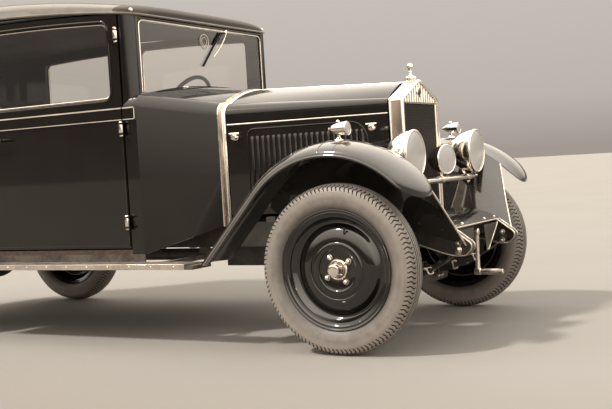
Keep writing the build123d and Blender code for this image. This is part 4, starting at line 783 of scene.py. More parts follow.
def make_sun():
    """One soft sun from behind and above."""
    sun = bpy.data.lights.new("sun", "SUN")
    sun.energy = 1.75
    sun.angle = radians(5)
    sun.color = (1.0, 0.96, 0.89)
    lamp = bpy.data.objects.new("sun", sun)
    lamp.rotation_euler = Vector(SUN_WAY).to_track_quat("-Z", "Y").to_euler()
    bpy.context.scene.collection.objects.link(lamp)


def make_ground():
    """Plain pale floor, a little darker beyond the car."""
    finish = Finish("pale_floor", (0.59, 0.545, 0.49), 0.9)
    grain = finish.group(GRAIN, Scale=60.0, Wave=0.7)
    finish.blend(grain["Cloud"], 0.3, 0.7, (0.55, 0.505, 0.45), 0.6)
    across_view = axis_node(finish.tree, place_node(finish.tree), "Y")
    finish.blend(across_view, -0.7, -2.6, (0.47, 0.415, 0.365))
    finish.bump(grain["Height"], 0.002, 0.5)
    corners = [(-1, -1), (1, -1), (1, 1), (-1, 1)]
    mesh = bpy.data.meshes.new("ground")
    mesh.from_pydata([row((x * GROUND_REACH, y * GROUND_REACH, 0)) for x, y in corners], [], [(0, 1, 2, 3)])
    mesh.materials.append(finish.done())
    ground = bpy.data.objects.new("ground", mesh)
    bpy.context.scene.collection.objects.link(ground)


make_camera()
make_sky()
make_sun()
make_ground()
bpy.context.scene.view_settings.view_transform = "Standard"

# Finishes of the solids that stay
CARRIED = [
    (chassis_black, "knuckle_right knuckle_left track_rod front_axle rear_axle"),
    (chassis_black, "leaf_springs frame_rails cross_members driveline fuel_tank"),
    (engine_iron, "engine_block"),
    (exhaust_steel, "exhaust"),
    (core_mesh, "radiator_core"),
    (body_enamel, "bonnet_top_right bonnet_top_left bonnet_side_right bonnet_side_left"),
    (body_enamel, "scuttle windscreen_frame door_right door_left quarter_panels"),
    (body_enamel, "tail_panel front_apron"),
    (roof_cloth, "roof"),
    (window_glass, "fixed_glass door_glass_right door_glass_left"),
    (floor_boards, "floor"),
    (dash_walnut, "dashboard"),
    (bakelite, "steering_wheel"),
    (wing_enamel, "front_wings rear_wings"),
    (board_mat, "running_boards"),
    (wheel_enamel, "wheel_front_right wheel_front_left wheel_rear_right wheel_rear_left"),
    (wheel_enamel, "wheel_spare"),
    (tyre_tread, "tyre_front_right tyre_front_left tyre_rear_right tyre_rear_left tyre_spare"),
]
for finish, names in CARRIED:
    for name in names.split():
        nodes[name].material_slots[0].material = finish

# Road wheels: x of the axle and the first part of the names of its wheels
AXLES = ((0.0, "front_"), (-WHEELBASE, "rear_"))


class WheelFrame:
    """A wheel's centre with its forward, up and outward directions."""

    def __init__(self, centre, forward, up, out):
        self.centre = Vector(centre)
        self.forward = Vector(forward)
        self.up = Vector(up)
        self.out = Vector(out)

    def at(self, r, angle, a):
        """Point at a radius, an angle from forward to up, and a distance outward."""
        return self.centre + (self.forward * cos(angle) + self.up * sin(angle)) * r + self.out * a

    def lathe(self, form, profile, sides=96, finish=0):
        """Ring turned from a closed profile of radius and outward distance."""
        rows = [[self.at(r, tau * i / sides, a) for r, a in profile] for i in range(sides)]
        return form.skin(rows, finish, ring=True, hoop=True)


def wheel_frames():
    """Each wheel's name, frame and body, the spare one last."""
    frames = []
    for (x, end), (side, name) in product(AXLES, SIDES):
        place = WheelFrame((x, side * WHEEL_Y, TYRE_R), AHEAD, UP, (0, side, 0))
        frames.append((end + name, place, "wheel_" + end + name))
    spare = WheelFrame((SPARE_X, 0, SPARE_Z), (0, -1, 0), UP, BACK)
    frames.append(("spare", spare, "chassis"))
    return frames


# Tyres
TREAD_ARC_R = 99.1
TREAD_PITCHES = 108
GROOVE_DEPTH = 6.0
NOTCH_DEPTH = 7.0
NOTCH_PHASES = (0.0, 0.34, 0.39, 0.61, 0.66)
NOTCH_SWAY = 0.24
TREAD_EDGE = 57.0
BEAD_R = 262.0
WALL_H = 95.0
TREAD_SAMPLES = (0, 3.5, 7, 7.4, 10.6, 11, 15.5, 20, 20.4, 23.6, 24, 28, 32, 33, 37, 41, 45, 49, 52)


def tyre_half():
    """Half section from the crown to the bead: radius, offset, groove, notch and mark."""
    line = []
    for s in TREAD_SAMPLES:
        r = TYRE_R - TREAD_ARC_R + sqrt(TREAD_ARC_R**2 - s * s)
        groove = GROOVE_DEPTH if 7.2 < s < 10.8 or 20.2 < s < 23.8 else 0.0
        line.append((r, s, groove, NOTCH_DEPTH if s > 32.5 else 0.0, 1.0))
    for r, s in arc3((357.0, 54.0), (312.0, 69.0), (BEAD_R, 50.0), 16):
        notch = NOTCH_DEPTH * max(0.0, min(1.0, (r - 342) / 7))
        line.append((r, s, 0.0, notch, (r - BEAD_R) / WALL_H))
    line.append((250.0, 49.0, 0.0, 0.0, 0.0))
    return line


def tyre_row(place, section, widths, turn, cut):
    """One row of tyre points with their depths, at a turn counted in pitches of the tread."""
    line, depths = [], []
    for (r, s, groove, notch, _), width in zip(section, widths):
        sway = NOTCH_SWAY * sin(pi * max(-1.0, min(1.0, (width - 51) / 19)))
        depth = max(groove, notch if cut else 0.0)
        lean = min(1.0, width / 62)
        sideways = depth * 0.5 * lean * (1 if s > 0 else -1)
        angle = tau * (turn + sway) / TREAD_PITCHES
        line.append(place.at(r - depth * (1 - 0.35 * lean), angle, s - sideways))
        depths.append(depth)
    return line, depths


def make_tyre(name, place, body):
    """Tyre with circumferential grooves, swaying cross notches and fine wall rings."""
    half = tyre_half()
    section = half[::-1] + [(r, -s, *rest) for r, s, *rest in half[1:]]
    reach = [0.0]
    for (r0, s0, *_), (r1, s1, *_) in zip(section, section[1:]):
        reach.append(reach[-1] + hypot(r1 - r0, s1 - s0))
    widths = [abs(distance - reach[-1] / 2) for distance in reach]
    rows, depths = [], []
    for pitch, phase in product(range(TREAD_PITCHES), NOTCH_PHASES):
        line, deep = tyre_row(place, section, widths, pitch + phase, 0.38 < phase < 0.62)
        rows.append(line)
        depths.append([depth > 3 for depth in deep])
    form = Form().skin(rows, 0, hoop=True)
    marks = [mark for *_, mark in section] * len(rows)
    faces = product(range(len(rows)), range(len(section) - 1))
    for index, (i, j) in enumerate(faces):
        after = depths[(i + 1) % len(rows)]
        # Faces deep in a groove take the near-black groove material, painted shade.
        if sum((*depths[i][j : j + 2], *after[j : j + 2])) >= 2:
            form.finishes[index] = 2
        elif widths[j] < TREAD_EDGE:
            form.finishes[index] = 1
    for side, (r, s) in product((-1, 1), ((336.5, 65.2), (329.5, 67.0))):
        form.tube([place.at(r, tau * i / 96, side * s) for i in range(96)], 1.1, 6, 0, closed=True)
        marks += [(r - BEAD_R) / WALL_H] * (len(form.points) - len(marks))
    finishes = [tyre_side, tyre_tread, tyre_groove_shade]
    stands_for = ["tyre_" + name]
    form.piece("dressed_tyre_" + name, finishes, body, "tyre", stands_for, angle=radians(40), marks=marks)


# Wheels
DISH = [(131, 37), (140, 35.6), (150, 33), (163, 28.2), (176, 22), (188, 12), (200, 4), (207, 3.4),
        (214, 6), (225, 16.5), (235, 30)]
DISC_FACE = [(38, 28), (86, 28), (88.5, 29), (90.5, 35.5), (92.5, 37.2), (98, 38.4), (104, 39), (112, 38),
             (118, 35.8), (120.5, 33.5), (123, 29.8), (125.5, 29), (127.5, 31), (129, 35.5)]
RIM_FACE = [(235.5, 36), (232, 37), (229, 38.5), (228, 41), (229, 43.5), (232, 45), (237, 46), (240, 48),
            (242, 51), (245, 53), (248, 53.3), (251, 52.2), (254, 53), (257, 55.8), (260, 57), (263, 56),
            (264, 53.5), (262.5, 51), (258, 50), (250, 49.6)]
RIM_BACK = [(244, 48), (243, -48), (250, -49.6), (262, -50.5), (263, -54), (260, -57), (255, -55),
            (245, -52), (238, -48), (237, -44), (237, 24)]
DISC_BACK = [(225, 10), (214, 1), (207, -1.6), (200, -1), (176, 17), (150, 28), (131, 32), (104, 34),
             (90, 30), (86, 23), (38, 23)]
COLLAR = [(46, 28), (46, 31.5), (44, 34), (40.5, 34.8), (37.5, 33), (36.5, 29.5), (36.5, 28)]
HUB_CAP = [(34, 26), (34, 36), (31, 42), (28, 46), (27, 49), (27, 70), (25.8, 73.4), (22.5, 75.2),
           (15, 75.9), (0, 76)]
DRUM = [(150, -8), (150, -22), (152, -23), (152, -27), (150, -28), (150, -50), (141, -50), (141, -17),
        (42, -17), (42, -8)]
WHEEL_NUT_ANGLES = [radians(34 + 90 * i) for i in range(4)]
VALVE_ANGLE = radians(75)
STUD_ANGLE = radians(-80)
WHEEL_FINISHES = [wheel_enamel, nickel, black_and_gap_shade, bright_steel, chassis_black]


def dress_disc(form, place):
    """Pressed disc, rim, valve and balance stud."""
    section = DISC_FACE + smooth_line(DISH, 3) + RIM_FACE + RIM_BACK + DISC_BACK
    place.lathe(form, section, 112, 0)
    valve = [place.at(158, VALVE_ANGLE, 31), place.at(168, VALVE_ANGLE, 36), place.at(183, VALVE_ANGLE, 37)]
    form.tube(valve, 3.2, 10, 2)
    form.tube([place.at(179, VALVE_ANGLE, 37), place.at(188, VALVE_ANGLE, 37)], 5.0, 12, 2)
    form.tube([place.at(184, VALVE_ANGLE - 0.045, 38), place.at(184, VALVE_ANGLE + 0.045, 38)], 2.6, 8, 2)
    for offset in (-0.028, 0.028):
        base = place.at(141, STUD_ANGLE + offset, 35)
        form.turned([(3.6, 0), (3.6, 2.5), (2.6, 4), (0, 4.6)], base, place.out, 12, 3)


def make_wheel(name, place, body):
    """Road wheel: disc, hub cap, collar, four domed nuts and brake drum."""
    form = Form()
    dress_disc(form, place)
    place.lathe(form, COLLAR + [(33, 28), (33, 24), (46, 24)], 64, 1)
    # Black ring at the foot of the recess between collar and hub cap: painted shade.
    form.turned([(36.4, 28.4), (33, 28.5)], place.centre, place.out, 48, 2)
    form.turned(HUB_CAP, place.centre, place.out, 64, 1)
    place.lathe(form, DRUM, 96, 4)
    place.lathe(form, [(42, -8), (42, 24), (22, 24), (22, -46), (30, -46), (30, -8)], 48, 4)
    for angle in WHEEL_NUT_ANGLES:
        base = place.at(64, angle, 28)
        form.turned([(13, 0), (13, 1.5), (11, 2)], base, place.out, 24, 3)
        dome = [(10.4, 2), (10.6, 8), (9.8, 12), (7.4, 15), (3.6, 16.6), (0, 17)]
        form.turned(dome, base, place.out, 24, 1)
    form.piece("dressed_wheel_" + name, WHEEL_FINISHES, body, "wheel_enamel", ["wheel_" + name])


def make_spare_wheel(name, place, body):
    """Spare disc wheel on its carrier, held by a capped centre nut."""
    form = Form()
    dress_disc(form, place)
    form.turned([(60, -84), (60, 26), (57, 27.5), (38, 27.8)], place.centre, place.out, 64, 4)
    form.turned([(52, 28), (52, 31), (50, 33), (44, 34)], place.centre, place.out, 48, 3)
    form.turned([(30, 30), (30, 36), (27, 40), (16, 41.6), (0, 42)], place.centre, place.out, 48, 1)
    for angle in WHEEL_NUT_ANGLES:
        form.nut(place.at(64, angle, 28), place.out, 18, 9, 3)
    for angle in (0.5, 0.5 + pi):
        form.tube([place.at(12, angle, 38), place.at(42, angle, 41)], [7.0, 4.0], 12, 1)
    form.piece("dressed_wheel_" + name, WHEEL_FINISHES, body, "wheel_enamel", ["wheel_" + name])


# Wings
WING_CENTRE = (-16.0, 394.0)
WING_R = 536.0
WING_SHEET = 3.5
WING_TAIL_ANGLE = radians(138)
WING_NOSE_ANGLES = (radians(48), radians(33.3))
# Section of the front wing: y and drop below the crest
WING_CROWN = [(531, 33), (545, 27), (560, 22), (575, 15), (590, 9), (605, 4), (620, 1.3), (635, 0.3),
              (650, 0), (665, 0.4), (680, 1.5), (695, 3.4), (710, 6), (725, 9.5), (740, 14), (753, 19),
              (765, 24.5), (775, 30.5), (783, 37), (789, 44), (793, 51), (795, 57)]
# Section of the rear wing
REAR_CROWN = [(652, 9), (660, 5), (670, 2), (682, 0), (707, 0), (725, 3), (740, 8), (755, 15), (768, 23),
              (778, 32), (786, 42), (792, 52), (795, 58)]
REAR_WING_R = 490.0
REAR_WING_ANGLES = (radians(4), radians(186))
BOARD_TOP_Z = 402.0
RAIL_FACE_Y = 322.0


def wing_section(crown):
    """Closed section: outer skin, rolled bead and inner skin, as y and drop pairs."""
    y, d = 793.0, 66.0
    bead = [(y + 6 * cos(t), d - 6 * sin(t)) for t in (radians(60 - 30 * i) for i in range(10))]
    inner = [(a - 1.5 if a > 760 else a, b + WING_SHEET) for a, b in reversed(crown)]
    return crown + bead + inner


def wing_row(centre, radius, angle, section):
    """One row of a wing: its section laid at an angle round the wing's centre."""
    x, z = centre
    return [(x + (radius - d) * cos(angle), y, z + (radius - d) * sin(angle)) for y, d in section]


def front_wing_rows():
    """Rows of the left front wing from its round nose to the foot of its tail."""
    section = wing_section(WING_CROWN)
    nose_start, nose_tip = WING_NOSE_ANGLES
    rows = []
    for i in range(14):
        reach = cos(pi / 2 * i / 14) * 0.9995
        wide = sqrt(1 - reach * reach)
        line = [(650 + (y - 650) * wide, 34 + (d - 34) * wide) for y, d in section]
        rows.append(wing_row(WING_CENTRE, WING_R, nose_start + (nose_tip - nose_start) * reach, line))
    for i in range(53):
        angle = nose_start + (WING_TAIL_ANGLE - nose_start) * i / 52
        rows.append(wing_row(WING_CENTRE, WING_R, angle, section))
    down = cos(WING_TAIL_ANGLE)
    back = -sin(WING_TAIL_ANGLE)
    last = rows[-1]
    for share in (0.25, 0.5, 0.75, 1.0):
        lengths = [(z - BOARD_TOP_Z + 4) / -down * share for x, y, z in last]
        rows.append([(x + back * length, y, z + down * length) for (x, y, z), length in zip(last, lengths)])
    return rows


def valance_rows():
    """Rows of the left inner panel, from the wing's inner edge down to the frame rail."""
    steps = 30
    rows = []
    for i, (fx, fz) in enumerate(arc3((429.5, 431.0), (180.0, 496.0), (-430.0, 500.0), steps)):
        top = wing_row(WING_CENTRE, 502, radians(49 + 101 * i / steps), [(531.0, 0)])[0]
        line = []
        for k in range(9):
            x, y, z = (a + (b - a) * k / 8 for a, b in zip(top, (fx, RAIL_FACE_Y, fz)))
            hollow = 10 * sin(pi * k / 8)
            line.append((x, y - hollow, z - hollow * 0.5))
        rows.append(line)
    return rows


def make_front_wings():
    """Front wings with rolled edges, inner panels, welts and bolts."""
    form = Form().skin(front_wing_rows(), 0, ring=True, ends=True)
    rows = valance_rows()
    form.sheet(rows, (0, -2, -3))
    form.tube(rows[0], 4.5, 10, 1)
    for angle in (radians(84.5), radians(93)):
        form.tube(wing_row(WING_CENTRE, WING_R + 0.6, angle, WING_CROWN), 1.6, 6, 0)
    for i in range(3, 28, 4):
        x, y, z = rows[i][7]
        form.nut((x, y + 2, z + 2), (0, 0.5, 0.87), 12, 6, 2)
    finishes = [wing_enamel, bright_steel, chassis_black]
    form.mirrored().piece("dressed_front_wings", finishes, "chassis", "wing_enamel", ["front_wings"])


def make_rear_wings():
    """Rear wings with rolled edges and a welt against the body."""
    section = wing_section(REAR_CROWN)
    start, end = REAR_WING_ANGLES
    rows, welt = [], []
    for i in range(73):
        angle = start + (end - start) * i / 72
        rows.append(wing_row((-WHEELBASE, TYRE_R), REAR_WING_R, angle, section))
        x, y, z = rows[-1][0]
        welt.append((x + 3 * cos(angle), y + 3, z + 3 * sin(angle)))
    form = Form().skin(rows, 0, ring=True, ends=True).tube(welt, 4.0, 8, 1).mirrored()
    form.piece("dressed_rear_wings", [wing_enamel, chassis_black], "chassis", "wing_enamel", ["rear_wings"])


# Curves of the body
DRIP = [(-1110.0, 1657.0), (-2150.0, 1700.0), (-3350.0, 1645.0)]
# Arch sections at the cowl band and at the screen's foot: x, half width, side z, shoulder y and z,
# crest z, foot z
BAND = (-788.0, 360.0, 1092.0, 292.0, 1158.0, 1235.0, 560.0)
SCREEN_BASE = (-1110.0, 652.0, 1165.0, 571.0, 1227.0, 1280.0, 440.0)
BELT_Z = (1102.0, 1164.5)
BELT_Y = 662.0
LINE_THICK = 1.0
BODY_MIDDLE_X = -2000.0
POST_REAR_X = -1185.0
DOOR_X = (-1193.0, -2130.0)
SILL_Z = 1210.0
DOOR_WINDOW_X = (-1262.0, -2062.0)
QUARTER_WINDOW_X = (-2215.0, -2860.0)
WINDOW_CORNER_R = 40.0
WINDOW_BELOW_DRIP = 84.0
WALL_BELOW_DRIP = 37.0


def drip_z(x):
    """Height of the drip line at an x, on the curve through its three points."""
    z = 0.0
    for i, (xi, zi) in enumerate(DRIP):
        part = zi
        for k, (xk, _) in enumerate(DRIP):
            if k != i:
                part *= (x - xk) / (xi - xk)
        z += part
    return z


def section_at(x):
    """Arch section at an x, between those of the cowl band and the screen or beyond them."""
    share = (x - SCREEN_BASE[0]) / (BAND[0] - SCREEN_BASE[0])
    return (x, *[low + (high - low) * share for high, low in zip(BAND[1:], SCREEN_BASE[1:])])


def arch_line(section, lift=0.0, low_z=None):
    """Points of an arch section from its right foot over the crest to its left foot."""
    x, half_w, side_z, shoulder_y, shoulder_z, crest_z, foot_z = section
    half_w += lift
    shoulder_y += lift
    shoulder_z += lift
    crest_z += lift
    side_z += lift / 2
    foot_z = foot_z if low_z is None else low_z
    mid_y = shoulder_y + (half_w - shoulder_y) * 0.76
    mid_z = side_z + (shoulder_z - side_z) * 0.70
    corner = arc3((half_w, side_z), (mid_y, mid_z), (shoulder_y, shoulder_z), 8)
    crown = arc3((shoulder_y, shoulder_z), (0.0, crest_z), (-shoulder_y, shoulder_z), 28)
    foot = [(half_w, foot_z + (side_z - foot_z) * k / 6) for k in range(6)]
    left = foot + corner
    line = left + crown[1:-1] + [(-y, z) for y, z in reversed(left)]
    return [(x, y, z) for y, z in reversed(line)]


def plan_line(proud, front_x):
    """Body outline in plan, proud of the wall, from the right front round the tail to the left."""
    half = BODY_HALF_W + proud
    back = BODY_REAR_X - proud
    radius = BODY_CORNER_R + proud
    centre = (back + radius, half - radius)
    right = [(front_x, -half)]
    for i in range(15):
        turn = pi / 2 * i / 14
        right.append((centre[0] - radius * sin(turn), -centre[1] - radius * cos(turn)))
    return right + [(x, -y) for x, y in reversed(right)]


def ribbon(form, plan, low_z, high_z):
    """Flat strip that follows a plan line, standing proud of it."""
    rows = []
    last = len(plan) - 1
    for i, (x, y) in enumerate(plan):
        ax, ay = plan[max(0, i - 1)]
        bx, by = plan[min(last, i + 1)]
        way = Vector((bx - ax, by - ay)).normalized()
        ox, oy = way.y, -way.x
        if ox * (x - BODY_MIDDLE_X) + oy * y < 0:
            ox, oy = -ox, -oy
        tx, ty = x + ox * LINE_THICK, y + oy * LINE_THICK
        rows.append([(x, y, low_z), (tx, ty, low_z), (tx, ty, high_z), (x, y, high_z)])
    form.skin(rows, ring=True, ends=True)


# Roof
ROOF_EDGE = [(-1112, 1622), (-1300, 1643), (-1600, 1672), (-1960, 1692), (-2300, 1700), (-2800, 1688),
             (-3200, 1658), (-3348, 1640)]
ROOF_CREST = [(-1112, 1672), (-1300, 1706), (-1600, 1755), (-1960, 1793), (-2300, 1806), (-2800, 1790),
              (-3200, 1730), (-3348, 1668)]
ROOF_ACROSS = (0.0, 0.15, 0.3, 0.45, 0.6, 0.72, 0.82, 0.89, 0.94, 0.97, 0.988, 1.0)
ROOF_FRONT_R = 105.0
ROOF_REAR_R = 268.0
ROOF_FRONT_X = -1107.0
ROOF_REAR_X = -3354.0


def height_on(table, x):
    """Height on a smooth line through x and z pairs."""
    line = smooth_line(table, 6)
    for (x0, z0), (x1, z1) in zip(line, line[1:]):
        if x1 <= x <= x0:
            return z0 + (z1 - z0) * (x - x0) / (x1 - x0)
    return line[0][1] if x > line[0][0] else line[-1][1]


def roof_half_width(x):
    """Half width of the roof at an x, with its round corners."""
    half = BODY_HALF_W + 6
    front = x - (ROOF_FRONT_X - 1 - ROOF_FRONT_R)
    if front > 0:
        return half - ROOF_FRONT_R + sqrt(max(0.0, ROOF_FRONT_R**2 - front**2))
    rear = (ROOF_REAR_X + ROOF_REAR_R) - x
    if rear > 0:
        return half - ROOF_REAR_R + sqrt(max(0.0, ROOF_REAR_R**2 - rear**2))
    return half


def roof_row(x, half, low, crest):
    """Row of roof points across the car, drawn down in a round brow at both ends."""
    from_end = min(1.0, (ROOF_FRONT_X - x) / 60, (x - ROOF_REAR_X) / 140)
    high = low + (crest - low) * (0.30 + 0.70 * sqrt(max(0.0, 1 - (1 - max(0.0, from_end)) ** 2)))
    rise = [(half * t, low + (high - low) * (1 - t**5) ** 0.46) for t in ROOF_ACROSS]
    return [(x, -y, z) for y, z in reversed(rise)] + [(x, y, z) for y, z in rise[1:]]


def make_roof():
    """Crowned fabric roof with paler edges, its drip moulding and the band below it."""
    stations = [ROOF_FRONT_X - ROOF_FRONT_R * (1 - cos(radians(10 * i))) for i in range(10)]
    stations += [-1230 - 80 * i for i in range(23)]
    stations += [ROOF_REAR_X + ROOF_REAR_R * (1 - sin(radians(9 * i))) for i in range(11)]
    rows, edge = [], []
    for x in stations:
        x = max(x, ROOF_REAR_X + 0.5)
        low = height_on(ROOF_EDGE, x)
        edge.append((x, roof_half_width(x), low))
        rows.append(roof_row(*edge[-1], height_on(ROOF_CREST, x)))
    form = Form().skin(rows, 0)
    for i, face in enumerate(form.faces):
        x = max(form.points[k][0] for k in face)
        if min(abs(form.points[k][1]) for k in face) > 0.88 * roof_half_width(x) and x < -1200:
            form.finishes[i] = 3
    across_roof = range(len(rows[0]))
    form.add(rows[0], [tuple(across_roof)]).add(rows[-1], [tuple(reversed(across_roof))])
    loop = [(x, -y, z) for x, y, z in edge] + [(x, y, z) for x, y, z in reversed(edge)]
    form.tube([(x, y, z - 4) for x, y, z in loop], 6.5, 8, 2, closed=True)
    band = []
    for x, y, z in loop:
        foot = min(z - 10, drip_z(max(DRIP[-1][0], min(DRIP[0][0], x))) - WALL_BELOW_DRIP + 1)
        band.append([(x, y, z), (x, y * 0.99, foot), (x, y * 0.95, foot), (x, y * 0.95, z - 4)])
    form.skin(band, 1, ring=True, hoop=True)
    finishes = [roof_top, body_enamel, roof_bead, roof_side]
    form.piece("dressed_roof", finishes, "chassis", "roof_cloth", ["roof"])


def make_roof_lining():
    """Headlining under the roof."""
    shares = (-1, -0.8, -0.5, -0.2, 0, 0.2, 0.5, 0.8, 1)
    rows = []
    for i in range(13):
        x = -1190 - 175 * i
        half = min(600.0, roof_half_width(x) - 46)
        low = height_on(ROOF_EDGE, x) - 34
        rows.append([(x, half * t, low + 26 * (1 - t * t)) for t in shares])
    Form().sheet(rows, (0, 0, 3)).piece("roof_lining", [lining_cloth], "chassis", "roof_cloth")


# Windscreen
SCREEN_X = -1136.0
SCREEN_HALF_W = 571.0
SCREEN_TOP_Z = 1600.0


def make_screen_frame():
    """Screen posts with round outer corners, header, and the bead round the glass."""
    form = Form()
    outer, corner, front = 650.0, 70.0, -1122.0
    turn_x = front - corner
    plan = [(POST_REAR_X, outer)]
    for a in range(10, 91, 10):
        plan.append((turn_x + corner * sin(radians(a)), outer - corner + corner * cos(radians(a))))
    plan += [(front, SCREEN_HALF_W + 6), (front - 4, SCREEN_HALF_W), (POST_REAR_X + 2, SCREEN_HALF_W - 2)]
    rows = [[(x, y, z) for x, y in plan] for z in (1172.0, 1240.0, 1400.0, 1560.0, 1628.0)]
    form.skin(rows, 0, ring=True, ends=True)
    form.bar((front - 14, SCREEN_HALF_W + 18, 1185), (front + 2, SCREEN_HALF_W + 24, 1618))
    form.mirrored()
    form.bar((POST_REAR_X, -600, SCREEN_TOP_Z), (front - 2, 600, 1630))
    form.bar((front - 3, -600, SCREEN_TOP_Z + 3), (front + 1, 600, 1612))
    form.bar((front - 3, -600, 1617), (front + 3, 600, 1624))
    half, top = SCREEN_HALF_W - 5, SCREEN_TOP_Z - 5
    loop = [(-half, 1235.0), (-half, top - 30)]
    loop += [(-half + 30 - 30 * cos(radians(a)), top - 30 + 30 * sin(radians(a))) for a in (22, 45, 68, 90)]
    loop += [(-y, z) for y, z in reversed(loop)]
    form.tube([(SCREEN_X + 9, y, z) for y, z in loop], 3.6, 10, 2)
    for side in (1, -1):
        lug = [(11, -4), (11, 3), (7, 7), (0, 8)]
        form.turned(lug, (SCREEN_X, side * 608, 1638), (0.35, side * 0.94, 0), 18, 2)
    form.bar((SCREEN_X - 8, -half - 4, 1196), (SCREEN_X + 12, half + 4, 1206))
    finishes = [body_enamel, bead_enamel, nickel]
    form.piece("dressed_screen_frame", finishes, "chassis", "body_enamel", ["windscreen_frame"], bevel=2)


def make_wiper():
    """Screen wiper: pivot, curved arm and blade, and a blank round disc on the glass."""
    form = Form()
    x = SCREEN_X + 12
    form.turned([(13, -6), (13, 4), (10, 8), (0, 9)], (x, 200, 1593), AHEAD, 24, 0)
    arm = smooth_line([(x + 6, 200, 1592), (x + 8, 186, 1566), (x + 7, 128, 1500), (x + 5, 62, 1446)], 5)
    form.tube(arm, 3.2, 8, 0)
    form.tube([(x - 2, 152, 1584), (x - 2, 62, 1490), (x - 2, -30, 1393)], 6.5, 8, 1)
    form.tube([(x + 4, 140, 1573), (x + 4, 60, 1490)], 2.4, 8, 1)
    for out, r, thick, sides in ((4.5, 38, 4.0, 36), (4.0, 22, 3.0, 28)):
        ring = circle(Vector((SCREEN_X + out, 0, 1527)), Vector(LEFT), Vector(UP), r, sides)
        form.tube(ring, thick, 6, 2, closed=True)
    form.piece("screen_wiper", [nickel, black_and_gap_shade, cream_line], "chassis", "nickel")


# Belt lines, window beads and door furniture
HINGE_X = -1190.0
HINGE_Y = 674.0
HINGE_HEIGHTS = (1520, 1060, 600)
HANDLE_X = -2075.0
DOOR_GRIP = [(-2075, 660, 1050), (-2075, 686, 1050), (-2066, 696, 1050), (-2040, 698, 1050),
             (-1985, 695, 1049)]


def belt_lines(form, plan):
    """Two fine cream lines along the belt moulding's edges."""
    ribbon(form, plan, BELT_Z[1] - 7, BELT_Z[1] - 0.5)
    ribbon(form, plan, BELT_Z[0] + 0.5, BELT_Z[0] + 4.5)


def window_loop(x_range, grow):
    """Outline of a side window as x and z pairs, its top edge under the drip line."""
    front, rear = x_range[0] + grow, x_range[1] - grow
    r = WINDOW_CORNER_R + grow
    low = SILL_Z - grow + r
    down = WINDOW_BELOW_DRIP - grow
    line = quarter(front - r, low, r, -90)
    line += quarter(front - r, drip_z(front - r) - down - r, r, 0)
    for i in range(1, 6):
        x = front - r + (rear - front + 2 * r) * i / 6
        line.append((x, drip_z(x) - down))
    line += quarter(rear + r, drip_z(rear + r) - down - r, r, 90)
    return line + quarter(rear + r, low, r, 180)


def window_trim(form, x_range, side):
    """Bead round a side window outside, its channel inside the opening and a sill strip."""
    for grow, out, thick, finish in ((9, 1, 4.5, 1), (-5, -14, 5.0, 2)):
        loop = [(x, side * (BODY_HALF_W + out), z) for x, z in window_loop(x_range, grow)]
        form.tube(loop, thick, 8, finish, closed=True)
    form.bar((x_range[1] + 36, side * (BODY_HALF_W - 4), SILL_Z - 3),
             (x_range[0] - 36, side * (BODY_HALF_W + 4), SILL_Z + 5), 2)


def make_door_trim(side, name):
    """Lines, beads, hinge barrels, handle and lower panel bead of one door."""
    form = Form()
    belt_lines(form, [(x, side * BELT_Y) for x in DOOR_X])
    window_trim(form, DOOR_WINDOW_X, side)
    for z in HINGE_HEIGHTS:
        barrel = [(11, -20), (11.4, -18), (11.4, 18), (11, 20)]
        form.turned(barrel, (HINGE_X, side * HINGE_Y, z), UP, 20, 2)
    out = (0, side, 0)
    form.turned([(26, 0), (26, 2.5), (22, 5), (13, 7)], (HANDLE_X, side * BODY_HALF_W, 1050), out, 28, 2)
    form.turned([(9, 0), (9, 2), (6, 4)], (HANDLE_X, side * (BODY_HALF_W + 1), 1010), out, 20, 2)
    grip = [(x, side * y, z) for x, y, z in smooth_line(DOOR_GRIP, 4)]
    last = len(grip) - 1
    form.tube(grip, [8.5 + 2.5 * sin(pi * i / last) for i in range(last + 1)], 14, 2)
    low, high = side * BODY_HALF_W, side * (BODY_HALF_W + 3.5)
    for x in (DOOR_X[0] - 12, DOOR_X[1] + 4):
        form.bar((x, low, 486), (x + 8, high, 1096), 1)
    form.bar((DOOR_X[1] + 4, low, 480), (DOOR_X[0] - 4, high, 488), 1)
    form.piece("door_trim_" + name, [cream_line, bead_enamel, nickel], "door_" + name, "body_enamel")


def make_body_trim():
    """Lines, beads and hinge ends of the fixed body: quarter panels, tail and front posts."""
    form = Form()
    belt_lines(form, plan_line(10, DOOR_X[1] - 6))
    front = SCREEN_BASE[0]
    for side in (-1, 1):
        window_trim(form, QUARTER_WINDOW_X, side)
        belt_lines(form, [(front - 1, side * BELT_Y), (POST_REAR_X, side * BELT_Y)])
        form.bar((front - 6, side * BELT_Y, BELT_Z[0] + 0.5),
                 (front - 0.5, side * (BELT_Y + 1), BELT_Z[1] - 0.5), 0)
        for z, end in product(HINGE_HEIGHTS, (-31, 27)):
            base = (HINGE_X, side * HINGE_Y, z + end)
            form.turned([(10.6, 0), (10.6, 4), (8, 8), (3, 9.5)], base, (0, 0, 1 if end > 0 else -1), 18, 2)
    loop = []
    for y, z, start in ((290, 1490, 0), (-290, 1490, 90), (-290, 1290, 180), (290, 1290, 270)):
        loop += [(BODY_REAR_X - 1, *place) for place in quarter(y, z, 49, start)]
    form.tube(loop, 4.5, 8, 1, closed=True)
    form.piece("body_trim", [cream_line, bead_enamel, nickel], "chassis", "body_enamel")


# Cowl band and bonnet
COWL_BAND = [(-816, 0), (-815, 2.6), (-811, 4.4), (-804, 4.8), (-800, 3.2), (-799, 0.6), (-796, 0.6),
             (-795, 2.8), (-791, 3.8), (-786, 3.0), (-785, 0)]


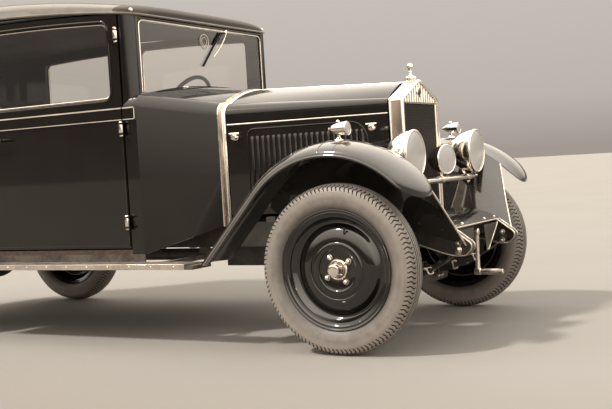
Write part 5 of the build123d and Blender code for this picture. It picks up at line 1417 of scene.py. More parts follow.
def make_cowl_band():
    """Bright double moulding over the scuttle behind the bonnet, its middle groove darkened as painted shade.
    """
    rows = [arch_line(section_at(x), lift + 0.4, 549.0) for x, lift in COWL_BAND]
    form = Form().skin(rows, 0)
    # Faces in the middle groove take the darker nickel, painted shade.
    for i, face in enumerate(form.faces):
        places = [form.points[k][0] for k in face]
        if -812 < min(places) and max(places) < -798.5:
            form.finishes[i] = 1
    inner = [[(x, y * 0.995, z - 2) for x, y, z in line] for line in (rows[-1], rows[0])]
    form.skin([rows[-1], *inner, rows[0]], 0)
    form.piece("cowl_band", [nickel, nickel_painted_dark], "chassis", "nickel")


SIDE_REAR = (-782.0, 359.0)
SIDE_FRONT = (38.0, 222.0)
CREST_REAR_Z = 1234.7
CREST_FRONT_Z = 1200.0
LOUVRE_PLAN = [(-7.5, 0.0), (-7.0, 5.5), (-5.2, 8.4), (-2.5, 9.0), (1.5, 7.0), (5.0, 3.4), (8.0, 0.2)]
# Height on the panel and share of the full size of a louvre hood
LOUVRE_RISE = [(650, 0.02), (652, 0.45), (656, 0.75), (664, 0.97), (676, 1.0), (800, 1.0), (960, 1.0),
               (973, 0.97), (981, 0.72), (984.5, 0.42), (986, 0.02)]
CATCH = [(15, 0), (15, 3), (10, 5), (9, 16), (15, 19), (16, 26), (11, 31), (0, 32)]


def on_side(x, out, z, side):
    """Point on the bonnet side panel's outer face, moved outward."""
    slope = (SIDE_FRONT[1] - SIDE_REAR[1]) / (SIDE_FRONT[0] - SIDE_REAR[0])
    y = SIDE_REAR[1] + slope * (x - SIDE_REAR[0])
    length = hypot(1, slope)
    return (x - slope / length * out, side * (y + out / length), z)


def make_bonnet_side(side, name):
    """Bonnet side: panel, folded edges, louvre hoods, raised bead, hinge rod and catches."""
    form = Form()
    panel = [[on_side(x, 0, z, side) for z in (600, 760, 900, 1046)] for x in (-781, -600, -400, -200, 37)]
    form.sheet(panel, (0, -side * 3, 0))
    for x in (-776, 30):
        form.bar(on_side(x - 6, -14, 602, side), on_side(x + 6, -3, 1042, side))
    form.tube([on_side(-778, -6, 604, side), on_side(34, -6, 604, side)], 6, 8)
    for i in range(21):
        x = -649 + 28 * i
        rows = []
        for z, scale in LOUVRE_RISE:
            wide = 0.55 + 0.45 * scale
            rows.append([on_side(x + a * wide, b * scale + 0.2, z, side) for a, b in LOUVRE_PLAN])
        form.skin(rows, 0, ring=True, ends=True)
        # Black strip at each louvre's open edge: painted shade in the slot.
        form.skin([[on_side(x - 9.5, 0.5, z, side), on_side(x - 7.4, 0.5, z, side)] for z in (664, 974)], 2)
    bead = [(-672, 640), (-672, 990)]
    bead += [(-640 - 32 * cos(radians(a)), 990 + 32 * sin(radians(a))) for a in (30, 60, 90)]
    bead += [(-150, 1022)]
    bead += [(-150 + 85 * sin(radians(a)), 937 + 85 * cos(radians(a))) for a in (15, 30, 45, 60, 75, 90)]
    bead += [(-65, 700), (-85, 640)]
    form.tube([on_side(x, 1.0, z, side) for x, z in bead], 4.0, 8, 0, closed=True)
    form.tube([on_side(-780, -5, 1050, side), on_side(36, -5, 1050, side)], 5.0, 12, 1)
    for x in (-735, -40):
        form.turned(CATCH, on_side(x, 0, 985, side), (0.165, side * 0.986, 0), 28, 1)
        form.tube([on_side(x - 26, 16, 1003, side), on_side(x + 26, 16, 1003, side)], 6.5, 14, 1)
    node = "bonnet_side_" + name
    form.piece("dressed_" + node, [body_enamel, nickel, black_and_gap_shade], node, "body_enamel", [node])


def bonnet_crest_z(x):
    """Height of the bonnet's middle hinge rod."""
    share = (x - SIDE_REAR[0]) / (SIDE_FRONT[0] - SIDE_REAR[0])
    return CREST_REAR_Z + (CREST_FRONT_Z - CREST_REAR_Z) * share


def make_bonnet_hinge():
    """Bright hinge rod along the crest, between the radiator and the scuttle."""
    form = Form().tube([(x, 0, bonnet_crest_z(x) - 1) for x in (-786, -600, -300, 0, 44)], 4.6, 12, 0)
    for x in range(-760, 1, 95):
        form.tube([(x, 0, bonnet_crest_z(x) - 1), (x + 50, 0, bonnet_crest_z(x + 50) - 1)], 5.4, 12, 0)
    form.piece("bonnet_hinge_rod", [nickel], "chassis", "nickel")


# Radiator
RAD_HALF_W = 220.5
RAD_SLOPE = 0.4375
REED_GAP = 28.0
CAP_X = 67.0
CAP_Z = 1200.0
SHELL_BORDER = [(0, 45), (0, 50), (1.5, 52), (0, 54), (2.5, 60), (2.5, 100), (0, 106), (0, 109),
                (1.5, 113), (5, 115.8), (9, 116.5), (13, 115.5), (15.5, 112), (16, 102), (5, 100),
                (5, 45)]
CAP = [(31, -12), (31, 0), (27, 3), (25, 6), (27, 8), (27, 22), (24.5, 26), (15, 29), (9, 32), (7, 38)]
FINIAL = [(7, 30), (6, 40), (5, 46), (9, 49), (9, 51), (6, 54), (10, 60), (14, 68), (15, 77), (12.5, 85),
          (7, 90.5), (0, 92)]


def radiator_outline(inset):
    """Shell outline in y and z, moved inward."""
    half = RAD_HALF_W - inset
    right = [(half, 545.0), (half, 1108 - 0.654 * inset)]
    right += [(half - 1.5, 1114 - 0.8 * inset), (half - 6, 1119 - 0.9 * inset)]
    crest = ((40.0, 1196.0), (30.0, 1200.5), (18.0, 1206.0), (0.0, 1209.5))
    right += [(y, z - 1.09 * inset) for y, z in crest]
    return right + [(-y, z) for y, z in reversed(right[:-1])]


def pediment_z(y):
    """Height of the sloping crest of the shell at a distance from the middle."""
    return 1117 + (RAD_HALF_W - abs(y)) * RAD_SLOPE


def make_radiator():
    """Plated radiator shell: rolled border, reeded pediment, blank badge, cap and plain finial."""
    form = Form()
    rows = [[(x, y, z) for y, z in radiator_outline(inset)] for inset, x in SHELL_BORDER]
    form.skin(rows[:4], 0)
    # The shell's side band takes tarnished nickel with painted dark reflection, and its upright faces below z
    # 1112 take the darker nickel as a painted dark reflection.
    first = len(form.faces)
    form.skin(rows[3:7], 1)
    for i in range(first, len(form.faces)):
        if max(form.points[k][2] for k in form.faces[i]) < 1112:
            form.finishes[i] = 3
    form.skin(rows[6:], 0)
    form.skin([rows[-1], rows[0]], 0)
    for side in (-1, 1):
        plan = [(101, 186), (106, 186), (110, 188), (111.5, 192), (111.5, 200), (109, 205), (101, 205)]
        form.skin([[(x, side * y, z) for x, y in plan] for z in (556, 800, 1097)], 0, ring=True, ends=True)
    reeds = []
    for y in range(-204, 205):
        top = min(pediment_z(y) - 15 * 1.09 - 1, 1192)
        front = 103 + 5.0 * abs(sin(pi * y / REED_GAP))
        reeds.append([(front, y, 1097), (front, y, top), (100, y, top), (100, y, 1097)])
    form.skin(reeds, 0, ring=True, ends=True)
    # Black lines along the valleys between the reeds: painted shade.
    for k in range(-7, 8):
        y = k * REED_GAP
        form.tube([(103.6, y, 1099), (103.6, y, min(pediment_z(y) - 18, 1190))], 2.0, 6, 4)
    form.bar((98, -206, 1091), (112, 206, 1099), 0)
    form.bar((45, -220, 545), (115, 220, 560), 0)
    badge = (104, 0, 1146)
    form.turned([(24, 0), (25, 3), (23, 6), (20.5, 6.2), (20, 4.6)], badge, AHEAD, 36, 0, ends=False)
    form.turned([(20.2, 4.8), (12, 6.2), (0, 6.8)], badge, AHEAD, 36, 2)
    form.turned(CAP, (CAP_X, 0, CAP_Z), UP, 40, 0)
    for i in range(12):
        y, x = 27.4 * sin(tau * i / 12), CAP_X + 27.4 * cos(tau * i / 12)
        form.tube([(x, y, CAP_Z + 9), (x, y, CAP_Z + 21)], 2.4, 6, 0)
    form.turned(FINIAL, (CAP_X, 0, CAP_Z), UP, 32, 0)
    finishes = [nickel, nickel_tarnish_and_dark_reflection, blank_plate, nickel_painted_dark, black_and_gap_shade]
    form.piece("dressed_radiator_shell", finishes, "chassis", "nickel", ["radiator_shell"], angle=radians(50))


# Lamps
HEAD_BOWL = [(0, -152), (20, -151), (29, -146), (31, -140), (42, -133), (62, -118), (80, -97), (94, -72),
             (103, -45), (107, -24), (107, -16), (110, -13), (112, -8), (112, -2), (110, 1.5), (107, 2.5),
             (104, 1), (103.5, -3)]
HEAD_MIRROR = [(103.5, -3), (98, -16), (86, -42), (68, -66), (46, -84), (28, -92), (16, -95), (15, -88),
               (0, -88)]
HEAD_LENS = [(0, 9), (40, 8.2), (72, 5.6), (92, 2.4), (103, -1.5), (103, -5), (90, -2), (70, 1.2),
             (40, 3.8), (0, 4.6)]


BULB = [(7, -90), (7, -76), (12, -68), (14, -60), (11, -51), (5, -46), (0, -45)]
LAMP_BAR_X = 196.0
LAMP_BAR_Z = 720.0
MIDDLE_LAMP_WAY = (cos(radians(15)), -sin(radians(15)), 0)


def add_lamp(metal, glass, centre, wide, deep, sides=64, way=AHEAD):
    """Bowl, mirror, bulb and lens of one lamp, at a share of the head lamp's width and depth."""
    bowl, mirror, lens, bulb = (
        [(r * wide, a * deep) for r, a in profile] for profile in (HEAD_BOWL, HEAD_MIRROR, HEAD_LENS, BULB)
    )
    metal.turned(bowl, centre, way, sides, 0, ends=False)
    metal.turned(mirror, centre, way, sides, 1, ends=False)
    metal.turned(bulb, centre, way, 20, 3)
    glass.turned(lens, centre, way, sides, 0, ends=False)


def make_lamps_and_lenses():
    """Cross bar with three lamps, and a side lamp on each wing."""
    metal, glass = Form(), Form()
    x, z = LAMP_BAR_X, LAMP_BAR_Z
    metal.tube([(x, y, z) for y in (-458, -200, 0, 200, 458)], 14, 20, 0)
    add_lamp(metal, glass, (232, 2, 817), 0.64, 0.70, 48, MIDDLE_LAMP_WAY)
    metal.tube([(x, 0, z - 4), (x, 0, z + 80)], 11, 14, 0)
    metal.turned([(19, -16), (19, 16)], (x, 0, z), LEFT, 24, 0)
    for side in (-1, 1):
        y = side * 390
        add_lamp(metal, glass, (242, y, 849), 1.0, 1.0)
        metal.turned([(20, 0), (20, 5), (15, 8), (15, 40)], (x, side * 458, z), (0, -side, 0), 24, 0)
        metal.turned([(19, -18), (19, 18)], (x, side * 360, z), LEFT, 24, 0)
        fork = [(x - 6, side * 360, z + 2), (x - 20, side * 362, z + 22), (x - 26, side * 372, z + 44)]
        metal.tube(smooth_line(fork, 4), 12, 14, 0)
        metal.turned([(20, 0), (20, 8), (14, 12), (10, 20)], (168, side * 384, 778), DOWN, 24, 0)
        metal.tube([(150, y - side * 26, 786), (210, y - side * 26, 752)], 4, 8, 2)
        metal.nut((x, side * 360, z - 19), DOWN, 20, 8, 0)
        y = side * 660
        add_lamp(metal, glass, (46, y, 979), 0.277, 0.62, 32)
        metal.tube([(0, y, 925), (0, y, 952)], 8, 14, 0)
        metal.turned([(22, 0), (21, 3), (12, 7), (9, 12)], (0, y, 929), UP, 24, 0)
        metal.turned([(7, 28), (9, 32), (5, 38), (0, 39)], (0, y, 979), UP, 16, 0)
    finishes = [nickel, mirror_silver, black_and_gap_shade, cream_line]
    metal.piece("dressed_lamps", finishes, "chassis", "nickel", ["lamps"], turn_out=False)
    glass.piece("dressed_lenses", [lens_glass], "chassis", "lens_glass", ["lenses"])


# Scuttle vent
def scuttle_z(x, y):
    """Height of the scuttle's top at a place."""
    line = arch_line(section_at(x))
    for (_, ya, za), (_, yb, zb) in zip(line, line[1:]):
        if min(ya, yb) <= y <= max(ya, yb) and abs(yb - ya) > 1e-6:
            return za + (zb - za) * (y - ya) / (yb - ya)
    return line[0][2]


def make_scuttle_vent():
    """Joint line of the vent flap in front of the screen, with its two small hinges."""
    rear, half_w = -1102, 490
    plan = [(rear + 2 + 62 * (1 - (i / 12 - 1) ** 2), half_w * (i / 12 - 1)) for i in range(25)]
    plan += [(rear, half_w * (1 - i / 12)) for i in range(1, 24)]
    form = Form().tube([(x, y, scuttle_z(x, y) + 0.4) for x, y in plan], 2.6, 6, 0, closed=True)
    for y in (-240, 240):
        z = scuttle_z(rear, y) + 2
        form.tube([(rear, y - 22, z), (rear, y + 22, z)], 4, 10, 1)
    form.piece("scuttle_vent", [black_and_gap_shade, nickel], "chassis", "body_enamel")


# Front of the chassis
IRON_RIM = [(300, 533), (365, 503), (426, 460), (446, 445), (454.5, 431), (451, 412), (436, 396),
            (420, 386), (366, 386), (290, 407), (205, 436)]
SPRING_EYE_X = 396.0
SPRING_EYE_Z = 411.0
SPRING_LOW_Z = 271.5
EYE_BOLT = [(15, 0), (15, 3), (12, 6), (12, 14), (8, 17), (0, 18)]
GUSSET = [(70, 492), (262, 492), (250, 478), (120, 372), (96, 372), (80, 440)]
SHACKLE = [(-408, 395), (-384, 395), (-380, 440), (-412, 440)]


def spring_z(x):
    """Height of the front spring's top leaf."""
    return SPRING_LOW_Z + (SPRING_EYE_Z - SPRING_LOW_Z) * (x / SPRING_EYE_X) ** 2


def spring_clip(form, x, y0, y1):
    """Strap round the leaves, square to them, with its bolt."""
    tilt = atan2(2 * (SPRING_EYE_Z - SPRING_LOW_Z) * x, SPRING_EYE_X**2)
    top = spring_z(x) + 9
    drop = 30 if abs(x) > 200 else 38
    corners = ((y0, 0), (y1, 0), (y1, drop), (y0, drop))
    loop = [(x + d * sin(tilt), y, top - d * cos(tilt)) for y, d in corners]
    for a, b in zip(loop, loop[1:] + loop[:1]):
        form.tube([a, b], 4.6, 8, 0)
    form.nut((x - 6, y1 + 3, top - 2), LEFT, 14, 7, 0)


def make_front_gear():
    """Bright rims and bolts of the dumb irons, apron lip, gussets, spring clips, U-bolts and shackles."""
    form = Form()
    rim = smooth_line(IRON_RIM, 4)
    for y in (RAIL_FACE_Y - 1, 279.0):
        form.tube([(x, y, z) for x, z in rim], 3.4, 8, 0)
    for x, z in ((394, 440), (392, 398)):
        form.nut((x, RAIL_FACE_Y, z), LEFT, 22, 12, 0)
        form.nut((x, 278, z), (0, -1, 0), 22, 12, 0)
    form.turned(EYE_BOLT, (SPRING_EYE_X, 326, SPRING_EYE_Z), LEFT, 24, 0)
    for x in (232, 120, -120, -232):
        spring_clip(form, x, 274, 322)
    for x in (-42, 42):
        for y in (276, 320):
            form.tube([(x, y, 288), (x, y, 226)], 5.5, 10, 1)
            form.nut((x, y, 226), DOWN, 18, 9, 0)
        form.tube([(x, 276, 288), (x, 320, 288)], 5.5, 10, 1)
    form.tube([(-376, 268, SPRING_EYE_Z), (-376, 330, SPRING_EYE_Z)], 8, 12, 1)
    form.tube([(-420, 268, spring_z(-420)), (-420, 330, SPRING_EYE_Z)], 8, 12, 1)
    for y in (274, 324):
        form.prism(SHACKLE, (0, y, 0), AHEAD, UP, 4, 1)
    form.prism(GUSSET, (372, 0, 0), LEFT, UP, 4, 1)
    form.tube([(375, 262, 491), (375, 250, 477), (375, 120, 371), (375, 96, 371)], 3.2, 8, 0)
    form.mirrored()
    form.tube([(368, y, 505) for y in (-318, -160, 0, 160, 318)], 4.0, 10, 0)
    for y in (-290, -150, 150, 290):
        form.turned([(8, 0), (8, 2), (5, 5), (0, 6)], (350, y, 517), (0.5, 0, 0.87), 16, 0)
    form.piece("front_gear", [bright_steel, chassis_black], "chassis", "bright_steel")


CRANK_Z = 463.0
CRANK_X = 360.0
GRIP_Z = 275.0
CRANK_GRIP = [(9, 10), (12, 14), (14, 30), (15, 60), (14.5, 95), (12.5, 116), (13.5, 120), (10, 124.5),
              (0, 125)]


def make_starting_handle():
    """Starting handle with its forged arm, sleeve and turned grip."""
    form = Form()
    form.turned([(9, 0), (11, 2), (11, 250), (10.5, 330)], (40, 0, CRANK_Z), AHEAD, 24, 0)
    form.turned([(11, 0), (18, 2), (18, 24), (15, 27), (11, 28)], (346, 0, CRANK_Z), AHEAD, 28, 0)
    arm = [(CRANK_X + bend, 0, z) for bend, z in ((0, 470), (1, 440), (1, 360), (0, 300), (0, 268))]
    form.tube(arm, [13, 11.5, 9.5, 11, 12.5], 16, 0)
    form.turned([(16, -14), (16, 12), (12, 15)], (CRANK_X, 0, GRIP_Z), AHEAD, 24, 0)
    form.turned(CRANK_GRIP, (CRANK_X, 0, GRIP_Z), AHEAD, 28, 0)
    form.tube([(352, -16, CRANK_Z), (352, 16, CRANK_Z)], 4.5, 8, 0)
    form.piece("dressed_starting_handle", [bright_steel], "chassis", "bright_steel", ["starting_handle"])


def make_axle_bolts():
    """Plugs of the rear axle's case and the bolts round it."""
    form = Form()
    form.nut((-WHEELBASE, 0, 248), DOWN, 20, 9, 0)
    for y in (60, -60):
        form.nut((-WHEELBASE - 130, y, TYRE_R), BACK, 20, 9, 0)
    for k in range(8):
        a = tau * k / 8
        form.nut((-WHEELBASE + 118 * cos(a), 14, TYRE_R + 118 * sin(a)), LEFT, 13, 8, 0)
    form.piece("axle_bolts", [bright_steel], "chassis", "chassis_black")


# Running boards
BOARD_X = (-2346.0, -772.0)


def make_board_trim():
    """Ribs of the mat, its bright edging and the screws that hold it."""
    form = Form()
    rear, front = BOARD_X
    for i in range(13):
        y = 668 + 9.6 * i
        form.bar((rear + 10, y, 400.5), (front, y + 4.4, 404.6), 0)
    form.bar((rear, 794, 379), (front, 800.5, 405.5), 1)
    form.bar((rear - 1, 656, 379), (rear + 7, 800.5, 405.5), 1)
    for i in range(12):
        x = rear + 60 + (front - rear - 120) * i / 11
        form.turned([(5, 0), (4, 2), (0, 2.6)], (x, 800, 392), LEFT, 12, 1)
    form.mirrored().piece("board_trim", [board_mat, nickel_tarnish_and_dark_reflection], "chassis", "board_rubber", bevel=1)


# Rear
PLATE_X = -3364.5
PLATE_HALF_W = 185.0
PLATE_Z = (322.0, 418.0)
CARRIER_X = -3392.0
CARRIER_Z = 790.0
TAIL_LAMP = [(0, 30), (20, 28), (30, 18), (34, 4), (34, -10), (31, -13)]


def make_rear_details():
    """Blank number plate, tail lamps and the spare wheel's carrier."""
    form = Form()
    x, (low, high) = PLATE_X, PLATE_Z
    form.bar((x - 3, -PLATE_HALF_W, low), (x, PLATE_HALF_W, high), 0)
    rim = [(-PLATE_HALF_W, low), (PLATE_HALF_W, low), (PLATE_HALF_W, high), (-PLATE_HALF_W, high)]
    form.tube([(x - 3, y, z) for y, z in rim], 3.2, 8, 1, closed=True)
    for y in (-150, 150):
        form.nut((x - 3, y, 370), BACK, 13, 6, 1)
    for y in (-210, 210):
        form.bar((x - 6, y - 10, 352), (x + 1, y + 10, 470), 2)
        centre = (x - 4, y, 470)
        form.turned(TAIL_LAMP, centre, BACK, 32, 2, ends=False)
        form.turned([(34, 24), (36, 27), (36, 31), (32, 33)], centre, BACK, 32, 1, ends=False)
        form.turned([(32, 29), (26, 35), (14, 39), (0, 40)], centre, BACK, 32, 3, ends=False)
    for side in (-1, 1):
        form.tube([(-3352, side * 120, CARRIER_Z), (CARRIER_X, side * 70, CARRIER_Z)], 9, 12, 2)
        form.tube([(-3352, side * 60, 640), (CARRIER_X, side * 40, 740)], 9, 12, 2)
    form.turned([(62, 0), (62, 6), (50, 10)], (CARRIER_X, 0, CARRIER_Z), BACK, 40, 2)
    finishes = [blank_plate, nickel, chassis_black, ruby_glass]
    form.piece("rear_details", finishes, "chassis", "chassis_black")


# Cabin
WALL_Y = 606.5
TAIL_LINING = [(-540, 540, 900, 1236), (-540, -344, 1236, 1600), (344, 540, 1236, 1600),
               (-344, 344, 1544, 1600)]
# Blocks of a door card: rear and front x, depth, low and high z, finish
DOOR_CARD = [
    (-2095, -1225, 5, 600, 1176, 0),
    (-2095, -1225, 9, 1176, 1198, 1),
    (-1640, -1290, 12, 660, 880, 0),
    (-1640, -1290, 15, 872, 884, 2),
    (-2040, -1720, 34, 930, 962, 3),
]
DIAL_X = -1180.5
DIAL_Z = 1128.0


def make_wall_lining():
    """Lining panels inside the quarters and the tail, carpet and inner mouldings."""
    form = Form()
    for side in (-1, 1):
        form.bar((-2120, side * 590, 580), (-1200, side * 636, 583.5), 3)
        form.bar((-3090, side * 598, 600), (-2150, side * WALL_Y, 1186), 0)
        form.bar((-3090, side * 596, 1186), (-2140, side * WALL_Y, 1200), 1)
    for y0, y1, z0, z1 in TAIL_LINING:
        form.bar((-3304.5, y0, z0), (-3297, y1, z1), 0)
    form.bar((-1680, -560, 580), (-1200, 560, 586), 2)
    form.bar((-2550, -600, 580), (-2165, 600, 586), 2)
    form.bar((-1680, -62, 580), (-1560, 62, 586), 2)
    finishes = [lining_cloth, dash_walnut, carpet, nickel_tarnish_and_dark_reflection]
    form.piece("wall_lining", finishes, "chassis", "roof_cloth", bevel=2)


def make_door_card(side, name):
    """Inner door panel with a pocket, an arm rest, a pull and two handles."""
    form = Form()
    for x0, x1, deep, z0, z1, finish in DOOR_CARD:
        form.bar((x0, side * WALL_Y, z0), (x1, side * (WALL_Y - deep), z1), finish)
    for x in (-1400, -2020):
        form.turned([(16, 0), (16, 6), (9, 10), (8, 18)], (x, side * 602, 1080), (0, -side, 0), 24, 2)
        handle = [(x, side * 586, 1080), (x + 36, side * 582, 1072), (x + 70, side * 582, 1064)]
        form.tube(handle, [7, 6, 5], 12, 2)
    finishes = [lining_cloth, dash_walnut, nickel, seat_hide]
    form.piece("door_card_" + name, finishes, "door_" + name, "seat_leather", bevel=3)


def add_dial(form, y, r):
    """Dial without words: rim, face, eleven strokes and a pointer."""
    x = DIAL_X
    rim = [(r + 5, 0), (r + 5, 4), (r + 2, 8), (r, 7), (r - 1, 3)]
    form.turned(rim, (x, y, DIAL_Z), BACK, 40, 0, ends=False)
    form.turned([(r, 2), (0, 2.2)], (x, y, DIAL_Z), BACK, 40, 1)
    for k in range(11):
        a = radians(-130 + 26 * k)
        stroke = [(x - 3, y + q * sin(a), DIAL_Z + q * cos(a)) for q in (r - 9, r - 4)]
        form.tube(stroke, 0.9, 4, 2)
    form.tube([(x - 4, y, DIAL_Z), (x - 4, y - 0.4 * r, DIAL_Z + 0.62 * r)], 1.2, 4, 2)


def make_controls():
    """Three dials, switches, pedals, gear lever, hand brake and the steering wheel's middle."""
    form = Form()
    for y, r in ((0, 44), (110, 34), (-110, 34)):
        add_dial(form, y, r)
    for y in (-190, 190):
        knob = [(12, 0), (12, 3), (7, 5), (7, 16), (10, 20), (8, 25), (0, 26)]
        form.turned(knob, (DIAL_X, y, 1112), BACK, 24, 0)
    for y in (250, 340, 425):
        form.tube([(-1130, y, 640), (-1180, y, 650), (-1215, y, 690)], 7, 10, 3)
        form.bar((-1226, y - 28, 668), (-1216, y + 28, 730), 2)
    lever = smooth_line([(-1470, 0, 584), (-1490, 0, 760), (-1560, 8, 900), (-1580, 10, 950)], 4)
    form.tube(lever, 7, 12, 0)
    form.turned([(8, -4), (18, 4), (21, 16), (18, 28), (8, 35), (0, 36)], (-1582, 10, 950), UP, 24, 2)
    form.turned([(42, 0), (38, 14), (20, 24), (10, 30)], (-1470, 0, 585), UP, 32, 2)
    form.tube([(-1500, 60, 584), (-1530, 60, 760), (-1600, 60, 880)], 7, 12, 0)
    form.tube([(-1600, 60, 880), (-1632, 60, 920)], 11, 12, 2)
    form.turned([(30, -12), (30, 6), (22, 12), (0, 14)], (-1523, 339, 1204), (-0.16, 0, 0.99), 32, 2)
    finishes = [nickel, dial_face, black_and_gap_shade, chassis_black]
    form.piece("cabin_controls", finishes, "chassis", "nickel")


# Seats
FRONT_SEAT_Y = (65, 575)
PAD_VOXEL = 0.014
PAD_PRESSURE = 4.0
PAD_STEPS = 20
PAD_CAP = 0.022
PAD_EDGE = 0.030
SEAM_INSET = 0.045
PLEAT_GAP = 0.066
# Name, low corner, high corner, and the axis of the side that is held
PADS = [
    ("front_cushion_right", (-2146, -566, 664), (-1704, -76, 786), 2),
    ("front_cushion_left", (-2146, 76, 664), (-1704, 566, 786), 2),
    ("front_back_right", (-2252, -566, 690), (-2184, -76, 1274), 0),
    ("front_back_left", (-2252, 76, 690), (-2184, 566, 1274), 0),
    ("rear_cushion_pad", (-3046, -530, 700), (-2576, 530, 846), 2),
    ("rear_back_pad", (-3190, -472, 880), (-3084, 472, 1324), 0),
]


def pad_blank(name, low, high):
    """Rounded block of a pad with an even mesh."""
    form = Form()
    form.bar(low, high)
    mesh = bpy.data.meshes.new(name + "_blank")
    mesh.from_pydata([row(p) for p in form.points], [], form.faces)
    blank = bpy.data.objects.new(name + "_blank", mesh)
    bpy.context.scene.collection.objects.link(blank)
    edge = blank.modifiers.new("edges", "BEVEL")
    edge.width = PAD_EDGE
    edge.segments = 3
    grid = blank.modifiers.new("grid", "REMESH")
    grid.mode = "VOXEL"
    grid.voxel_size = PAD_VOXEL
    bpy.context.view_layer.update()
    view = bpy.context.evaluated_depsgraph_get()
    cut = bpy.data.meshes.new_from_object(blank.evaluated_get(view))
    bpy.data.objects.remove(blank)
    pad = bpy.data.objects.new(name, cut)
    bpy.context.scene.collection.objects.link(pad)
    return pad


def stuff_pads(pads):
    """Swell the pads by cloth simulation, with the side they rest on held, and keep the result."""
    starts = [[v.co.copy() for v in pad.data.vertices] for pad, _ in pads]
    for pad, held_axis in pads:
        rest = min(v.co[held_axis] for v in pad.data.vertices)
        held = pad.vertex_groups.new(name="held")
        held.add([v.index for v in pad.data.vertices if v.co[held_axis] < rest + 0.012], 1.0, "REPLACE")
        cloth = pad.modifiers.new("stuffing", "CLOTH")
        cloth.settings.quality = 4
        cloth.settings.use_pressure = True
        cloth.settings.uniform_pressure_force = PAD_PRESSURE
        cloth.settings.vertex_group_mass = "held"
        cloth.settings.effector_weights.gravity = 0.0
    for step in range(1, PAD_STEPS + 1):
        bpy.context.scene.frame_set(step)
    view = bpy.context.evaluated_depsgraph_get()
    ends = [[v.co.copy() for v in pad.evaluated_get(view).data.vertices] for pad, _ in pads]
    for (pad, _), start, end in zip(pads, starts, ends):
        pad.modifiers.remove(pad.modifiers["stuffing"])
        for vertex, a, b in zip(pad.data.vertices, start, end):
            move = b - a
            if move.length > PAD_CAP:
                move *= PAD_CAP / move.length
            vertex.co = a + move
    bpy.context.scene.frame_set(1)


def groove(distance, width):
    """Depth of a soft groove at a distance from its middle, from 0 to 1."""
    return exp(-((distance / width) ** 2))


def finish_pad(pad, low, high, held_axis):
    """One subdivision, then the border seam and the pleats pressed into the face."""
    soft = pad.modifiers.new("rounding", "SUBSURF")
    soft.levels = 1
    bpy.context.view_layer.update()
    view = bpy.context.evaluated_depsgraph_get()
    mesh = bpy.data.meshes.new_from_object(pad.evaluated_get(view))
    pad.modifiers.clear()
    pad.data = mesh
    a, b = row(low), row(high)
    long_axis = 0 if held_axis == 2 else 2
    pleated = b.y - a.y - 0.10
    pleat_gap = pleated / round(pleated / PLEAT_GAP)
    normals = [v.normal.copy() for v in mesh.vertices]
    for vertex, normal in zip(mesh.vertices, normals):
        if normal[held_axis] < 0.3:
            continue
        place = vertex.co
        inset = min(min(place[k] - a[k], b[k] - place[k]) for k in (1, long_axis))
        across_pleat = (place.y - a.y - 0.05) / pleat_gap
        gap = abs(across_pleat - round(across_pleat)) * pleat_gap
        inner = min(1.0, max(0.0, (inset - SEAM_INSET) / 0.012))
        vertex.co -= normal * (0.008 * groove(inset - SEAM_INSET, 0.007) + 0.010 * inner * groove(gap, 0.009))
    mesh.materials.clear()
    mesh.materials.append(seat_hide)
    mesh.shade_smooth()
    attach(pad, "chassis")


def make_seat_shells():
    """Bases and back shells of the seats, fixed to the floor and the body."""
    bases, backs = Form(), Form()
    for side in (-1, 1):
        inner, outer = sorted(side * y for y in FRONT_SEAT_Y)
        bases.bar((-2158, inner, 581), (-1692, outer, 662), 0)
        y0, y1 = inner + 4, outer - 4
        piping = [(-2150, y0, 662), (-1696, y0, 662), (-1696, y1, 662), (-2150, y1, 662)]
        bases.tube(piping, 5, 8, 0, closed=True)
        backs.bar((-2290, inner, 640), (-2250, outer, 1288), 0)
        backs.bar((-2292, inner + 40, 800), (-2288, outer - 40, 1000), 1)
    bench = Form().bar((-3058, -543, 581), (-2563, 543, 700))
    panel = Form().bar((-3224, -484, 862), (-3186, 484, 1338))
    shells = [
        (bases, "front_seat_bases", "front_cushions", 12),
        (backs, "front_back_shells", "front_backs", 14),
        (bench, "rear_seat_base", "rear_cushion", 12),
        (panel, "rear_back_shell", "rear_back", 14),
    ]
    for form, name, node, bevel in shells:
        finishes = [seat_hide, nickel] if 1 in form.finishes else [seat_hide]
        form.piece(name, finishes, "chassis", "seat_leather", [node], bevel=bevel)


def make_pads():
    """Stuffed pads of the seats."""
    pads = [(pad_blank(name, low, high), axis) for name, low, high, axis in PADS]
    stuff_pads(pads)
    for (pad, _), (_, low, high, axis) in zip(pads, PADS):
        finish_pad(pad, low, high, axis)


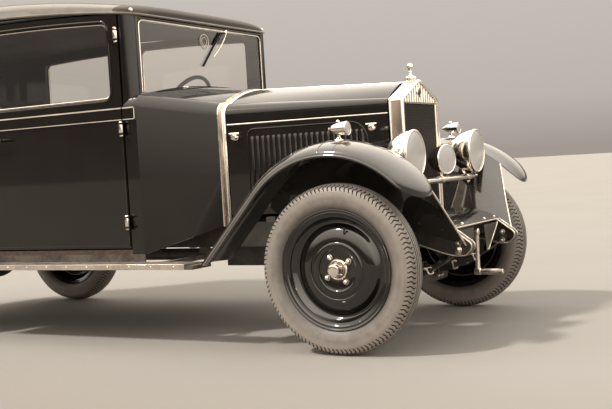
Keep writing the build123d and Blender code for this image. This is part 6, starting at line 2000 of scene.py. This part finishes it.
# Under the bonnet
def make_engine_details():
    """Cover, plugs, rigid pipes and fan on the plain engine block."""
    form = Form()
    form.bar((-640, -70, 958), (-95, 70, 1000), 0)
    for i in range(6):
        x = -600 + 94 * i
        form.turned([(11, 0), (11, 6), (7, 10), (0, 11)], (x, 0, 1000), UP, 16, 1)
        plug = [(9, 0), (9, 10), (12, 12), (12, 30), (5, 34), (4, 46)]
        form.turned(plug, (x, -95, 958), (0, -0.25, 0.97), 16, 3)
        form.tube([(x, 148, 880), (x, 186, 880), (x, 204, 862)], 17, 14, 4)
    form.tube([(-610, 204, 860), (-110, 204, 860)], 25, 18, 4)
    down_pipe = smooth_line([(-610, 204, 860), (-690, 206, 800), (-700, 212, 600), (-690, 215, 460)], 4)
    form.tube(down_pipe, 24, 18, 4)
    form.turned([(30, -30), (34, -28), (34, 40), (20, 46), (20, 70)], (-360, 214, 800), DOWN, 24, 1)
    form.tube([(-80, 0, 905), (-60, 0, 905)], 14, 16, 1)
    blade = [(20, -22), (150, -34), (165, 0), (150, 30), (20, 18)]
    for k in range(4):
        a = tau * k / 4 + 0.4
        form.prism(blade, (-56, 0, 905), (0, cos(a), sin(a)), (0.42, -sin(a) * 0.9, cos(a) * 0.9), 3, 3)
    water_pipe = smooth_line([(-90, 0, 985), (-60, 0, 1040), (0, 0, 1075), (46, 0, 1080)], 5)
    form.tube(water_pipe, 24, 16, 0)
    for x, z in ((36, 1079), (-70, 1022)):
        form.turned([(25.5, -5), (26, 0), (25.5, 5)], (x, 0, z), (1, 0, 0.2), 24, 1)
    form.tube([(-795, -230, 980), (-700, -230, 980)], 60, 28, 3)
    form.turned([(28, 0), (28, 12), (0, 14)], (-750, -230, 1040), UP, 24, 1)
    finishes = [engine_iron, bright_steel, black_and_gap_shade, chassis_black, exhaust_steel]
    form.piece("engine_details", finishes, "chassis", "engine_iron", bevel=4)


# The whole car
for name, place, body in wheel_frames():
    make_tyre(name, place, body)
    if name == "spare":
        make_spare_wheel(name, place, body)
    else:
        make_wheel(name, place, body)
make_front_wings()
make_rear_wings()
make_roof()
make_roof_lining()
make_screen_frame()
make_wiper()
make_body_trim()
make_cowl_band()
make_bonnet_hinge()
make_radiator()
make_lamps_and_lenses()
make_scuttle_vent()
make_front_gear()
make_starting_handle()
make_axle_bolts()
make_board_trim()
make_rear_details()
make_wall_lining()
for side, name in SIDES:
    make_door_trim(side, name)
    make_door_card(side, name)
    make_bonnet_side(side, name)
make_controls()
make_engine_details()
make_seat_shells()
make_pads()
